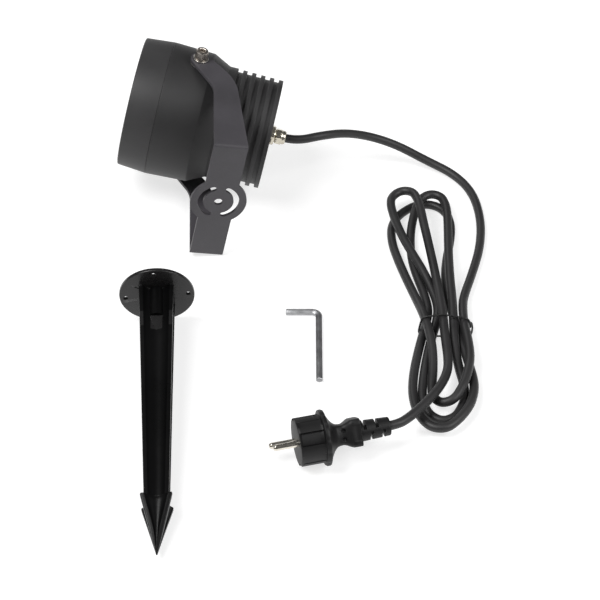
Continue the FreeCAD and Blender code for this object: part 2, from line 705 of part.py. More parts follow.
def make_driver():
    """Driver board on two posts, with its capacitor and transformer."""
    low_z = "(board_offset - board_height / 2)"
    front = "(board_back - board_thickness)"
    board = block((front, "-board_width / 2", low_z), ("board_thickness", "board_width", "board_height"))
    group("driver_board", [board], HEAD)
    sides = ("-board_width / 2 + 4", "board_width / 2 - 4")
    length = f"{sink_front} - board_back"
    posts = [cylinder("board_post_radius", length, ("board_back", y, "board_offset - 4"), X_AXIS)
             for y in sides]
    group("board_posts", posts, HEAD)
    capacitor = cylinder("capacitor_radius", "capacitor_height",
                         (f"{front} - capacitor_height", "-board_width / 4", "board_offset"), X_AXIS)
    group("driver_capacitor", [capacitor], HEAD)
    corner = (f"{front} - transformer_height", "board_width / 4 - transformer_width / 2",
              "board_offset - transformer_width / 2")
    transformer = block(corner, ("transformer_height", "transformer_width", "transformer_width"))
    group("driver_transformer", [transformer], HEAD)


# ---------------------------------------------------------------- cable gland

def make_gland():
    """Gland body screwed into the heat sink, its rubber seal and its clamping nut."""
    hex_back = f"({rear_face} + gland_hex_height)"
    thread_start = f"({rear_face} - gland_thread_length)"
    body = new_body("gland_body", HEAD)
    bore = "(cable_radius + nut_bore_gap)"
    pad(body, circles(body, "YZ_Plane", [("0", "0", "gland_thread_radius - thread_gap")], thread_start),
        "gland_thread_length")
    pad(body, hexagon(body, "YZ_Plane", "gland_flats", rear_face), "gland_hex_height")
    pad(body, circles(body, "YZ_Plane", [("0", "0", "gland_top_radius")], hex_back), "gland_top_length")
    pocket(body, circles(body, "YZ_Plane", [("0", "0", bore)], thread_start), "60", backwards=True)

    nut_front = f"({hex_back} + nut_gap)"
    dome_start = f"({nut_front} + nut_height)"
    seal_front = f"({hex_back} + gland_top_length)"
    mouth = f"({dome_start} + nut_dome)"
    turned("gland_seal", [
        (seal_front, "cable_radius"), (seal_front, "gland_top_radius"),
        (f"{mouth} - 0.8", "gland_top_radius - 1"), (f"{mouth} - 0.8", "cable_radius"),
    ], HEAD)
    nut = new_body("gland_nut", HEAD)
    pad(nut, hexagon(nut, "YZ_Plane", "nut_flats", nut_front), "nut_height")
    revolve(nut, polygon(nut, "XY_Plane", [
        (dome_start, "0"), (dome_start, "nut_flats / 2"),
        (f"{dome_start} + nut_dome / 2", "nut_flats / 2 - 0.5"),
        (mouth, "nut_mouth_radius"), (mouth, "0"),
    ]))
    doc.recompute()
    revolve(nut, polygon(nut, "XY_Plane", [
        (f"{nut_front} - 1", "0"), (f"{nut_front} - 1", "gland_top_radius + thread_gap"),
        (seal_front, "gland_top_radius + thread_gap"),
        (f"{mouth} - 0.8", "gland_top_radius - 1 + thread_gap"), (f"{mouth} - 0.8", bore),
        (f"{mouth} + 1", bore), (f"{mouth} + 1", "0"),
    ]), cut=True)
    return number(mouth)


# ---------------------------------------------------------------- pivots and bracket

def make_pivots():
    """Two socket screws, each with a spring washer, a flat washer and a friction washer."""
    rows = {"pivot_screws": [], "pivot_spring_washers": [], "pivot_washers": [], "friction_washers": []}
    bore = "(screw_radius + screw_gap)"
    for side in (1, -1):
        axis = Z_AXIS * side

        def ring(radius, thickness, start):
            at = ("0", "0", f"{side} * ({start})")
            return cut(cylinder(radius, thickness, at, axis), cylinder(bore, thickness, at, axis))

        spring_start = "(arm_outer + washer_thickness)"
        cap_start = f"({spring_start} + spring_washer_thickness)"
        friction = ring("friction_washer_radius", "friction_washer_thickness", "boss_reach")
        rows["friction_washers"].append(friction)
        rows["pivot_washers"].append(ring("washer_radius", "washer_thickness", "arm_outer"))
        spring = ring("spring_washer_radius", "spring_washer_thickness", spring_start)
        low = f"{side} * {spring_start} - {0 if side > 0 else 1} * spring_washer_thickness"
        gap = block(("0", "-spring_washer_gap / 2", low),
                    ("2 * spring_washer_radius", "spring_washer_gap", "spring_washer_thickness"))
        rows["pivot_spring_washers"].append(cut(spring, gap))
        cap = cylinder("cap_radius", "cap_height", ("0", "0", f"{side} * {cap_start}"), axis)
        shank = cylinder("screw_radius", f"{cap_start} - boss_reach + thread_engagement",
                         ("0", "0", f"{side} * (boss_reach - thread_engagement)"), axis)
        socket = hex_prism("socket_flats", "socket_depth",
                           ("0", "0", f"{side} * ({cap_start} + cap_height - socket_depth)"), axis)
        rows["pivot_screws"].append(cut(fuse([cap, shank]), socket))
    for label, pieces in rows.items():
        group(label, pieces, HEAD)


def arm_outline():
    """Closed outline of an arm: rounded at the pivot, curved at the elbow, widening to the web."""
    offset, reach = size("web_offset"), size("web_reach")
    end, half_web, half_elbow = size("arm_end_radius"), size("web_width") / 2, size("elbow_width") / 2
    elbow = Vector(offset + 0.8, -size("elbow_reach") + 12, 0)
    slope = Vector(elbow).normalize()
    side = Vector(-slope.y, slope.x, 0)
    bend, web_end = size("arm_bend_radius"), Vector(offset, -reach, 0)
    down = Vector(0, -1, 0)
    turn = slope.getAngle(down)

    def edge(sign):
        """Start of the curve, its middle and its end, on one side of the arm."""
        radius = bend + sign * half_elbow
        centre_from_elbow = bend / math.cos(turn / 2)
        inward = (down - slope).normalize()
        centre = elbow + inward * centre_from_elbow
        first = centre + side * (radius if side.dot(elbow - centre) > 0 else -radius)
        last = centre + Vector(radius if elbow.x > centre.x else -radius, 0, 0)
        return first, centre - inward * radius, last

    outer, inner = edge(1), edge(-1)
    outer_sign = 1 if side.dot(outer[0] - elbow) > 0 else -1
    end_outer, end_inner = side * (end * outer_sign), side * (-end * outer_sign)
    web_outer = web_end + Vector(half_web if outer[2].x > inner[2].x else -half_web, 0, 0)
    web_inner = web_end * 2 - web_outer
    return [
        Part.LineSegment(end_outer, outer[0]), Part.Arc(*outer), Part.LineSegment(outer[2], web_outer),
        Part.LineSegment(web_outer, web_inner), Part.LineSegment(web_inner, inner[2]),
        Part.Arc(inner[2], inner[1], inner[0]), Part.LineSegment(inner[0], end_inner),
        Part.Arc(end_inner, slope * -end, end_outer),
    ]


def slot_outline(middle_angle):
    """Closed outline of one curved slot about the middle of the web."""
    def at(radius, angle):
        turn = math.radians(angle)
        return Vector(size("web_offset") + radius * math.cos(turn), radius * math.sin(turn), 0)

    mean, half, span = size("slot_radius"), size("slot_width") / 2, size("slot_angle") / 2
    low, high = middle_angle - span, middle_angle + span
    cap = math.degrees(half / mean)
    return [
        Part.Arc(at(mean + half, low), at(mean + half, middle_angle), at(mean + half, high)),
        Part.Arc(at(mean + half, high), at(mean, high + cap), at(mean - half, high)),
        Part.Arc(at(mean - half, high), at(mean - half, middle_angle), at(mean - half, low)),
        Part.Arc(at(mean - half, low), at(mean, low - cap), at(mean + half, low)),
    ]


def make_bracket():
    """U-shaped bracket of bent sheet: two arms, a web with a round plate, a hole and two curved slots."""
    body = new_body("bracket", BRACKET)
    arm, web, thick, bend = (size(name) for name in ("arm_outer", "web_reach", "sheet", "bend_radius"))
    section = new_sketch(body, "YZ_Plane")
    corner = math.sqrt(0.5)

    def rail(side_z, back_y, radius):
        """One side of the folded sheet, from one arm end round both bends to the other."""
        front_y, low_y = 2 * size("arm_end_radius"), -back_y
        centre_y, centre_z = low_y + radius, side_z - radius
        upper = Vector(centre_y - radius * corner, centre_z + radius * corner, 0)
        lower = Vector(upper.x, -upper.y, 0)
        return [
            Part.LineSegment(Vector(front_y, side_z, 0), Vector(centre_y, side_z, 0)),
            Part.Arc(Vector(centre_y, side_z, 0), upper, Vector(low_y, centre_z, 0)),
            Part.LineSegment(Vector(low_y, centre_z, 0), Vector(low_y, -centre_z, 0)),
            Part.Arc(Vector(low_y, -centre_z, 0), lower, Vector(centre_y, -side_z, 0)),
            Part.LineSegment(Vector(centre_y, -side_z, 0), Vector(front_y, -side_z, 0)),
        ]

    front_y = 2 * size("arm_end_radius")
    for geometry in rail(arm, web, bend + thick) + rail(arm - thick, web - thick, bend):
        section.addGeometry(geometry)
    for sign in (1, -1):
        section.addGeometry(Part.LineSegment(Vector(front_y, sign * arm, 0),
                                             Vector(front_y, sign * (arm - thick), 0)))
    pad(body, section, "4 * web_width", both_ways=True)
    trim = new_sketch(body, "XY_Plane")
    wide = 3 * size("web_width")
    sheet_edge = [Vector(-wide, -1.2 * web, 0), Vector(wide, -1.2 * web, 0),
                  Vector(wide, wide, 0), Vector(-wide, wide, 0)]
    for i in range(4):
        trim.addGeometry(Part.LineSegment(sheet_edge[i], sheet_edge[(i + 1) % 4]))
    for geometry in arm_outline():
        trim.addGeometry(geometry)
    pocket(body, trim, "3 * arm_outer", both_ways=True)
    disc = circles(body, "XZ_Plane", [("web_offset", "0", "disc_radius")], "web_reach - sheet")
    pad(body, disc, "sheet")
    hole = circles(body, "XZ_Plane", [("web_offset", "0", "centre_hole")], "web_reach - 2 * sheet")
    pocket(body, hole, "3 * sheet", backwards=True)
    slots = new_sketch(body, "XZ_Plane", "web_reach - 2 * sheet")
    for middle_angle in (0, 180):
        for geometry in slot_outline(middle_angle):
            slots.addGeometry(geometry)
    pocket(body, slots, "3 * sheet", backwards=True)
    pivot = circles(body, "XY_Plane", [("0", "0", "screw_radius + pivot_running_gap")])
    pocket(body, pivot, "3 * arm_outer", both_ways=True)


# ---------------------------------------------------------------- stake and key

def star_section(width, hollow, height, body):
    """Square with hollow sides and narrow flats at its corners, as a sketch across the spike."""
    sketch = new_sketch(body, "XY_Plane", height)
    half, flat, depth = number(width) / 2, min(size("rib_flat"), 0.3 * number(width)), number(hollow)
    for quarter in range(4):
        turn = Rotation(Z_AXIS, 90 * quarter)
        corner, start = turn.multVec(Vector(half, half, 0)), turn.multVec(Vector(half - flat, half, 0))
        middle = turn.multVec(Vector(0, half - depth, 0))
        end, last = turn.multVec(Vector(-half + flat, half, 0)), turn.multVec(Vector(-half, half, 0))
        sketch.addGeometry(Part.LineSegment(corner, start))
        sketch.addGeometry(Part.Arc(start, middle, end))
        sketch.addGeometry(Part.LineSegment(end, last))
    return sketch


def loft(body, sections):
    """Solid between cross-sections."""
    feature = body.newObject("PartDesign::AdditiveLoft", "Loft")
    feature.Profile = sections[0]
    feature.Sections = sections[1:]
    feature.Ruled = True
    return feature


def make_stake():
    """Ground stake in one moulding: round flange, hollow-sided spike, barbs, tip and screw post."""
    body = new_body("ground_stake", STAKE)
    pad(body, circles(body, "XY_Plane", [("0", "0", "flange_radius")]), "flange_thickness")
    barbs = "(flange_thickness + spike_length)"
    loft(body, [star_section("spike_root_width", "root_hollow", "flange_thickness - 0.5", body),
                star_section("spike_end_width", "end_hollow", barbs, body)])
    loft(body, [star_section("barb_width", "end_hollow + 1.2", barbs, body),
                star_section("tip_width", "tip_width / 8", f"{barbs} + tip_length", body)])
    post = circles(body, "XY_Plane", [("0", "post_boss_face - post_boss_radius", "post_boss_radius")])
    pad(body, post, "flange_thickness + post_boss_length")
    post_end, middle = "(flange_thickness + post_boss_length)", "(post_boss_face - post_boss_radius)"
    loft(body, [circles(body, "XY_Plane", [("0", middle, "post_boss_radius")], post_end),
                circles(body, "XY_Plane", [("0", f"{middle} - 2.5", "1")], f"{post_end} + post_point")])
    for quarter in range(4):
        angle = f"({quarter} * 90 + flange_twist)"
        across, along = (f"flange_hole_circle / 2 * {turn}({angle})" for turn in ("cos", "sin"))
        hole = circles(body, "XY_Plane", [(across, along, "flange_hole")], "-1")
        pocket(body, hole, "flange_thickness + 2", backwards=True)
    blind = circles(body, "XY_Plane", [("0", "0", "stake_screw_hole")], "-1")
    pocket(body, blind, "stake_screw_depth + 1", backwards=True)


def make_key():
    """Hex key: a hexagon carried along two arms and their bend."""
    body = new_body("hex_key", KEY)
    short, long = number("key_short - key_flats / 2"), number("key_long - key_flats / 2")
    bend = size("key_bend")
    path = new_sketch(body, "XY_Plane")
    start, turn_in, turn_out = Vector(-short, 0, 0), Vector(-bend, 0, 0), Vector(0, -bend, 0)
    middle = Vector(-bend, -bend, 0) + Vector(bend, bend, 0) * math.sqrt(0.5)
    path.addGeometry(Part.LineSegment(start, turn_in))
    path.addGeometry(Part.Arc(turn_in, middle, turn_out))
    path.addGeometry(Part.LineSegment(turn_out, Vector(0, -long, 0)))
    section = hexagon(body, "YZ_Plane", "key_flats", "-key_short + key_flats / 2")
    doc.recompute()
    sweep = body.newObject("PartDesign::AdditivePipe", "Sweep")
    sweep.Profile = section
    sweep.Spine = (path, ["Edge1", "Edge2", "Edge3"])
    return sweep


# ---------------------------------------------------------------- plug

def make_plug():
    """Earthed plug: body with collar, waist and block, two pins, two earth clips and a bend sleeve."""
    body = turned("plug_body", [
        ("0", "0"), ("0", "plug_radius - edge_break"), ("edge_break", "plug_radius"),
        ("plug_front_length", "plug_radius"), ("plug_front_length", "plug_collar_radius - edge_break"),
        ("plug_front_length + edge_break", "plug_collar_radius"),
        ("plug_front_length + plug_collar", "plug_collar_radius"),
        ("plug_front_length + plug_collar + 1.5", "plug_collar_radius - 6"),
        ("plug_waist_at - 4", "plug_waist + 1.4"), ("plug_waist_at", "plug_waist"),
        ("plug_waist_at + 4", "plug_waist + 1"), ("plug_block_front", "plug_block_radius"),
        ("plug_length", "plug_block_radius"), ("plug_length", "0"),
    ], PLUG)
    recess_bottom = "(plug_radius - plug_recess_depth)"
    for sign in ("1", "-1"):
        bottom, outside = f"{sign} * {recess_bottom}", f"{sign} * (plug_radius + 2)"
        recess = polygon(body, "YZ_Plane", [
            (bottom, "-plug_recess / 2"), (outside, "-plug_recess / 2"),
            (outside, "plug_recess / 2"), (bottom, "plug_recess / 2"),
        ], "-1")
        pocket(body, recess, "plug_front_length", backwards=True)
    pin_z = "(pin_spacing / 2)"
    holes = [("0", pin_z, "pin_root_radius"), ("0", f"-{pin_z}", "pin_root_radius")]
    pocket(body, circles(body, "YZ_Plane", holes, "-1"), "pin_root + 1", backwards=True)
    pins = []
    for side in ("1", "-1"):
        z = f"{side} * {pin_z}"
        blade = cylinder("pin_radius", "pin_length", ("-pin_length", "0", z), X_AXIS)
        root = cylinder("pin_root_radius", "pin_root", ("0", "0", z), X_AXIS)
        pins.append(fuse([blade, root]))
    group("plug_pins", pins, PLUG)
    clips = []
    for low in (recess_bottom, f"(-{recess_bottom} - 1)"):
        clips.append(block(("edge_break", low, "-plug_recess / 2 + 1.5"),
                           ("plug_front_length - 3", "1", "plug_recess - 3")))
    group("plug_earth_clips", clips, PLUG)

    sleeve = turned("plug_sleeve", [
        ("plug_length", "0"), ("plug_length", "sleeve_root_radius"),
        ("plug_length + sleeve_length - 1", "sleeve_end_radius"),
        ("plug_length + sleeve_length", "sleeve_end_radius - 1"),
        ("plug_length + sleeve_length", "cable_radius"), ("plug_length + sleeve_length - 10", "cable_radius"),
        ("plug_length + sleeve_length - 10", "0"),
    ], PLUG)
    for i in range(4):
        centre = f"(plug_length + 3.5 + {i} * 4.6)"
        side = 1 if i % 2 == 0 else -1
        slot = polygon(sleeve, "XY_Plane", [
            (f"{centre} - sleeve_slot / 2", f"{side} * (cable_radius + 1)"),
            (f"{centre} + sleeve_slot / 2", f"{side} * (cable_radius + 1)"),
            (f"{centre} + sleeve_slot / 2", f"{side} * (sleeve_root_radius + 1)"),
            (f"{centre} - sleeve_slot / 2", f"{side} * (sleeve_root_radius + 1)"),
        ])
        pocket(sleeve, slot, "2 * sleeve_root_radius", both_ways=True)


# ---------------------------------------------------------------- lead

def rounded_path(points, name):
    """Straight runs joined by tangent arcs, each as large as its two runs allow."""
    edges, last, smallest = [], points[0], None
    for before, here, after in zip(points, points[1:], points[2:]):
        arriving, leaving = here - before, after - here
        half_turn = arriving.getAngle(leaving) / 2
        cut_back = 0.45 * min(arriving.Length, leaving.Length)
        radius = cut_back / math.tan(half_turn)
        smallest = radius if smallest is None else min(smallest, radius)
        start = here - Vector(arriving).normalize() * cut_back
        end = here + Vector(leaving).normalize() * cut_back
        towards = (Vector(leaving).normalize() - Vector(arriving).normalize()).normalize()
        middle = here + towards * (radius / math.cos(half_turn) - radius)
        edges.append(Part.LineSegment(last, start).toShape())
        edges.append(Part.Arc(start, middle, end).toShape())
        print(f"{name}: radius {radius:.1f}")
        last = end
    edges.append(Part.LineSegment(last, points[-1]).toShape())
    print(f"{name}: smallest radius {smallest:.1f}, {smallest / (2 * size('cable_radius')):.1f} diameters")
    return Part.Wire(edges)


def tube(label, points):
    """Cable tube along rounded straight runs, with its volume checked against section times length."""
    path = rounded_path(points, label)
    direction = (points[1] - points[0]).normalize()
    ring = Part.Wire([Part.Circle(points[0], direction, size("cable_radius")).toShape()])
    solid = path.makePipeShell([ring], True, False)
    expected = math.pi * size("cable_radius") ** 2 * path.Length
    print(f"{label}: length {path.Length:.1f}, volume {solid.Volume:.1f}, expected {expected:.1f}")
    if abs(solid.Volume - expected) > 0.01 * expected:
        raise RuntimeError(f"{label}: the tube's volume is wrong")
    feature = doc.addObject("Part::Feature", label)
    feature.Shape = solid
    return keep(feature, label, TABLE)


def make_lead(gland_mouth):
    """Cable from the gland to the bundle, the bundle of loops, its tie and the cable to the plug."""
    inside = HEAD.multVec(Vector(gland_mouth - 9, 0, 0))
    outside = HEAD.multVec(Vector(gland_mouth + 9.5, 0, 0))
    tube("cable_lead", [inside, outside] + [Vector(*point) for point in LEAD_ROUTE])
    sleeve_end = number("plug_length + sleeve_length")
    approach = PLUG.multVec(Vector(sleeve_end + 8, 0, 0))
    plug_end = PLUG.multVec(Vector(sleeve_end - 8, 0, 0))
    tube("cable_tail", [Vector(*point) for point in TAIL_ROUTE] + [approach, plug_end])

    outline = Part.BSplineCurve()
    corners = [Vector(across, along, 0) for across, along in HANK_OUTLINE]
    outline.interpolate(Points=corners, PeriodicFlag=True)
    loops = doc.addObject("Part::Feature", "Loops")
    loops.Shape = Part.Face(Part.Wire([outline.toShape()])).extrude(Vector(0, 0, size("hank_height")))
    under_tie = block(("tie_left - 5", "tie_y - tie_wire", "-1"),
                      ("tie_right - tie_left + 10", "2 * tie_wire", "1 + tie_wire + 0.2"))
    keep(cut(loops, under_tie), "cable_hank", TABLE)

    tie = new_body("cable_tie", TABLE)

    def ring(margin):
        """Corners of a rounded rectangle round the bundle."""
        left, right = f"(tie_left - {margin})", f"(tie_right + {margin})"
        low, high = f"(tie_wire + 0.1 - {margin})", f"(hank_height + 0.2 + {margin})"
        return [(left, f"{low} + 3"), (f"{left} + 3", low), (f"{right} - 3", low), (right, f"{low} + 3"),
                (right, f"{high} - 3"), (f"{right} - 3", high), (f"{left} + 3", high), (left, f"{high} - 3")]

    near_side = "-tie_y - tie_wire / 2"
    pad(tie, polygon(tie, "XZ_Plane", ring("tie_wire"), near_side), "tie_wire")
    inside_edge = polygon(tie, "XZ_Plane", ring("0"), f"{near_side} - 1")
    pocket(tie, inside_edge, "tie_wire + 2", backwards=True)


# ---------------------------------------------------------------- build, check and write

make_hood()
make_window()
make_housing()
make_heat_sink()
make_sink_seal()
make_light_source()
make_collector()
make_wheel()
make_carrier()
make_lens()
make_driver()
mouth_of_gland = make_gland()
make_pivots()
make_bracket()
make_stake()
make_key()
make_plug()
make_lead(mouth_of_gland)
doc.recompute()

for piece in doc.Objects:
    if "Invalid" in piece.State or "Error" in piece.State:
        raise RuntimeError(f"{piece.Label} ({piece.Name}) failed: {piece.State}")
os.makedirs("parts", exist_ok=True)
for piece in nodes:
    shape = piece.Shape
    if shape.isNull() or not shape.isValid() or shape.Volume <= 0:
        raise RuntimeError(f"{piece.Label} has no valid shape")
    shape.exportStep(f"parts/{piece.Label}.step")
    print(f"{piece.Label}: {len(shape.Solids)} solid(s), {shape.Volume:.0f} mm3")
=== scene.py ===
"""Looks of a projector lamp kit: lamp head in its bracket, ground stake, hex key and mains lead.

The sizes of the pieces are in millimetres, each in its piece's own frame. The camera, the lights, the floor
and the points of the cable are in metres, in the shared frame. The head frame has its origin on the pivot
axis, +X along the beam axis to the rear and +Z along the pivot axis.
"""

import json
import logging
import math
from dataclasses import dataclass, field
from enum import Enum

import bmesh
import bpy
import numpy as np
from mathutils import Matrix, Vector


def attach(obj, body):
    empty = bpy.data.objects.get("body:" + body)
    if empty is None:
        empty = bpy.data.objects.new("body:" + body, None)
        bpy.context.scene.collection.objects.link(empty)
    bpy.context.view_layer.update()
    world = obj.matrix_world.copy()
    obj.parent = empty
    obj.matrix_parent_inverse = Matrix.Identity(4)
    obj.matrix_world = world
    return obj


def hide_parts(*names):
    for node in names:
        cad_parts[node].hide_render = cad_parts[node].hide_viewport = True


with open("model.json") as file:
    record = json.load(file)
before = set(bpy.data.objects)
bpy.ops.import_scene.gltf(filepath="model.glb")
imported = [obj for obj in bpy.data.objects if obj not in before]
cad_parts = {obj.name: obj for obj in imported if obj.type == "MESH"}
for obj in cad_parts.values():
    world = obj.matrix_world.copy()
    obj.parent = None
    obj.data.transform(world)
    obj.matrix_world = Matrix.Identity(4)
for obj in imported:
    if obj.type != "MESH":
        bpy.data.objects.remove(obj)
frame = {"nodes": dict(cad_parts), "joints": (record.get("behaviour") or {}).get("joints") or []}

Array = np.ndarray
LOG = logging.getLogger("projector_lamp_kit")
MM = 0.001
MERGE = 1e-6  # points nearer than this, in metres, become one
FULL = 2 * math.pi


# ---------------------------------------------------------------- places

@dataclass(frozen=True)
class Place:
    """A turned and moved frame that a piece is worked out in."""

    turn: Array
    origin: Array

    def put(self, points: Array) -> Array:
        """Points of this frame as points of the shared frame, in metres."""
        return (np.asarray(points, float) * MM) @ self.turn.T + self.origin

    def point(self, x: float, y: float, z: float) -> Vector:
        """One point of this frame, given in millimetres, in the shared frame."""
        return Vector(self.put(np.array([[x, y, z]]))[0])


def turn_about(axis: str, degrees: float) -> Array:
    """Rotation matrix about one axis.

    Args:
        axis: X, Y or Z.
        degrees: angle by the right-hand rule.

    Returns:
        A 3 by 3 array.
    """
    return np.array(Matrix.Rotation(math.radians(degrees), 3, axis))


def joint(name: str) -> dict:
    """The record's joint of that name."""
    return next(entry for entry in frame["joints"] if entry["name"] == name)


def head_place() -> Place:
    """Frame of the lamp head, from its two hinges in the record.

    Returns:
        The frame: +Z along the bracket's hinge, +X along the pattern wheel's shaft, squared to it.
    """
    pivot, spin = joint("bracket_tilt"), joint("wheel_spin")
    up = np.array(pivot["axis"]) / np.linalg.norm(pivot["axis"])
    along = np.array(spin["axis"]) - up * np.dot(up, spin["axis"])
    along /= np.linalg.norm(along)
    return Place(np.column_stack([along, np.cross(up, along), up]), np.array(pivot["pos_m"]))


HEAD = head_place()
BRACKET = Place(HEAD.turn @ turn_about("Z", 13.35), HEAD.origin)
STAKE = Place(turn_about("Z", 2.65) @ turn_about("X", 95.1893), np.array([-0.0443, 0.0054, 0.02955084]))
KEY = Place(np.eye(3), np.array([0.0824, 0.0117, 0.0025]))
PLUG = Place(turn_about("Z", 13.7) @ turn_about("X", 47.0), np.array([0.0649, -0.1439, 0.021]))
TABLE = Place(np.eye(3), np.zeros(3))


# ---------------------------------------------------------------- surfaces from arrays

def grid_faces(rows: int, columns: int, close_rows: bool = False) -> Array:
    """Quads of a grid of points numbered row by row, whose last column joins its first.

    Args:
        rows: points along the first parameter.
        columns: points along the second parameter.
        close_rows: join the last row to the first.

    Returns:
        An array of four point numbers for each quad.
    """
    i = np.arange(rows if close_rows else rows - 1)[:, None]
    j = np.arange(columns)[None, :]
    i2, j2 = (i + 1) % rows, (j + 1) % columns
    quads = np.stack([i * columns + j, i2 * columns + j, i2 * columns + j2, i * columns + j2], axis=-1)
    return quads.reshape(-1, 4)


class Shape:
    """Points and faces gathered from several grids, which become one mesh."""

    def __init__(self) -> None:
        """Start with nothing."""
        self.points: list[Array] = []
        self.faces: list[list[int]] = []
        self.count = 0

    def sheet(self, grid: Array, close_rows: bool = False, cap_start: bool = False,
              cap_end: bool = False) -> "Shape":
        """Add a grid of points.

        Args:
            grid: points, rows by columns by 3; the last column joins the first.
            close_rows: join the last row to the first.
            cap_start: lay a flat cap over the first row.
            cap_end: lay a flat cap over the last row.

        Returns:
            This shape.
        """
        rows, columns = grid.shape[:2]
        faces = (grid_faces(rows, columns, close_rows) + self.count).tolist()
        last = self.count + (rows - 1) * columns
        if cap_start:
            faces.append(list(range(self.count, self.count + columns)))
        if cap_end:
            faces.append(list(range(last, last + columns))[::-1])
        self.points.append(np.asarray(grid, float).reshape(-1, 3))
        self.faces += faces
        self.count += rows * columns
        return self

    def mesh(self, name: str, place: Place, sharp: float = 40.0) -> bpy.types.Object:
        """Make the mesh object.

        Args:
            name: object name.
            place: frame that the points are in, in millimetres.
            sharp: edges steeper than this many degrees are shaded sharp.

        Returns:
            The linked object, at the origin.
        """
        data = bpy.data.meshes.new(name)
        data.from_pydata(place.put(np.vstack(self.points)), [], self.faces)
        data.validate()
        tidy_mesh(data)
        data.shade_smooth()
        data.set_sharp_from_angle(angle=math.radians(sharp))
        return link(name, data)


def tidy_mesh(data: bpy.types.Mesh) -> None:
    """Merge doubled points and turn every face outwards.

    Args:
        data: the mesh, which is changed.
    """
    work = bmesh.new()
    work.from_mesh(data)
    bmesh.ops.remove_doubles(work, verts=work.verts, dist=MERGE)
    bmesh.ops.dissolve_degenerate(work, edges=work.edges, dist=MERGE)
    bmesh.ops.recalc_face_normals(work, faces=work.faces)
    work.to_mesh(data)
    work.free()


def circle(count: int) -> Array:
    """Evenly spaced angles once round, in radians."""
    return np.linspace(0, FULL, count, endpoint=False)


def ring(x: float, radius: Array, u: Array) -> Array:
    """Row of a turned surface: (x, r cos u, r sin u), where r may change with the angle u."""
    return np.stack([np.full_like(u, x), radius * np.cos(u), radius * np.sin(u)], axis=-1)


def rounded(corners: list[tuple[float, float, float]], steps: int = 5, closed: bool = True) -> Array:
    """An outline whose corners are rounded.

    At each corner the outline leaves the straight line at radius times the tangent of half the turn, and
    follows the arc that touches both lines.

    Args:
        corners: (x, y, radius) of each corner.
        steps: points in each arc.
        closed: the outline runs back to its first corner.

    Returns:
        An array of points, two columns.
    """
    points, count = [], len(corners)
    for i, (x, y, radius) in enumerate(corners):
        here = np.array([x, y], float)
        if radius <= 0 or (not closed and i in (0, count - 1)):
            points.append(here)
            continue
        before, after = (np.array(corners[k][:2], float) - here for k in (i - 1, (i + 1) % count))
        reach_before, reach_after = np.linalg.norm(before), np.linalg.norm(after)
        u, v = before / reach_before, after / reach_after
        half = math.acos(float(np.clip(-u @ v, -1, 1))) / 2
        cut = min(radius * math.tan(half), 0.49 * reach_before, 0.49 * reach_after)
        start, end = here + u * cut, here + v * cut
        way = np.linspace(0, 1, steps)[:, None]
        points.extend(start * (1 - way) ** 2 + here * 2 * way * (1 - way) + end * way ** 2)
    return np.array(points)


def turned(outline: Array, around: int = 160) -> Array:
    """Surface of revolution about the X axis: a point (x, r) goes to (x, r cos u, r sin u).

    Args:
        outline: points (x, r).
        around: columns round the axis.

    Returns:
        A grid of points, rows by columns by 3.
    """
    u = circle(around)
    along = np.repeat(outline[:, 0][:, None], around, axis=1)
    radius = outline[:, 1][:, None]
    return np.stack([along, radius * np.cos(u), radius * np.sin(u)], axis=-1)


def regular(sides: int, u: Array, softness: float = 0.06) -> Array:
    """Radius of a regular polygon of unit flat distance at angle u, with its corners a little rounded.

    The radius is one over the cosine of the angle from the nearest flat, held below its corner value.

    Args:
        sides: number of sides.
        u: angles, in radians.
        softness: how far the corners are cut back, as a share of twice the radius.

    Returns:
        The radius at each angle.
    """
    step = FULL / sides
    from_flat = (u + step / 2) % step - step / 2
    return np.minimum(1 / np.cos(from_flat), (1 - softness * 0.5) / math.cos(step / 2))


def facing(grid: Array, axis: str) -> Array:
    """A grid turned about X is laid along another axis.

    Args:
        grid: points, whose X runs along the axis of the turned surface.
        axis: Y or Z.

    Returns:
        The grid with its X along that axis and the other two in order.
    """
    x, y, z = grid[..., 0], grid[..., 1], grid[..., 2]
    return np.stack([y, z, x] if axis == "Z" else [z, x, y], axis=-1)


def shift(grid: Array, x: float = 0.0, y: float = 0.0, z: float = 0.0) -> Array:
    """The grid moved by a distance along each axis."""
    return grid + np.array([x, y, z])


def frames_along(path: Array) -> tuple[Array, Array]:
    """Two directions across a path at each of its points, turning as little as possible.

    Args:
        path: points along the path.

    Returns:
        The first and the second direction at each point.
    """
    tangent = np.gradient(path, axis=0)
    tangent /= np.linalg.norm(tangent, axis=1)[:, None]
    first = np.cross(tangent[0], [0.0, 0.0, 1.0])
    if np.linalg.norm(first) < 1e-6:
        first = np.array([1.0, 0.0, 0.0])
    side = [first / np.linalg.norm(first)]
    for here in tangent[1:]:
        level = side[-1] - here * (side[-1] @ here)
        side.append(level / np.linalg.norm(level))
    across = np.array(side)
    return across, np.cross(tangent, across)


def carried(path: Array, section: Array) -> Array:
    """A section carried along a path: the path's point plus x times one way across and y times the other.

    Args:
        path: points along the path.
        section: points (x, y) of the section.

    Returns:
        A grid of points, one row for each point of the path.
    """
    across, other = frames_along(path)
    wide = across[:, None, :] * section[None, :, 0, None] + other[:, None, :] * section[None, :, 1, None]
    return path[:, None, :] + wide


def ring_section(radius: float, sides: int) -> Array:
    """Points of a circle, as a section to carry along a path."""
    u = circle(sides)
    return radius * np.stack([np.cos(u), np.sin(u)], axis=-1)


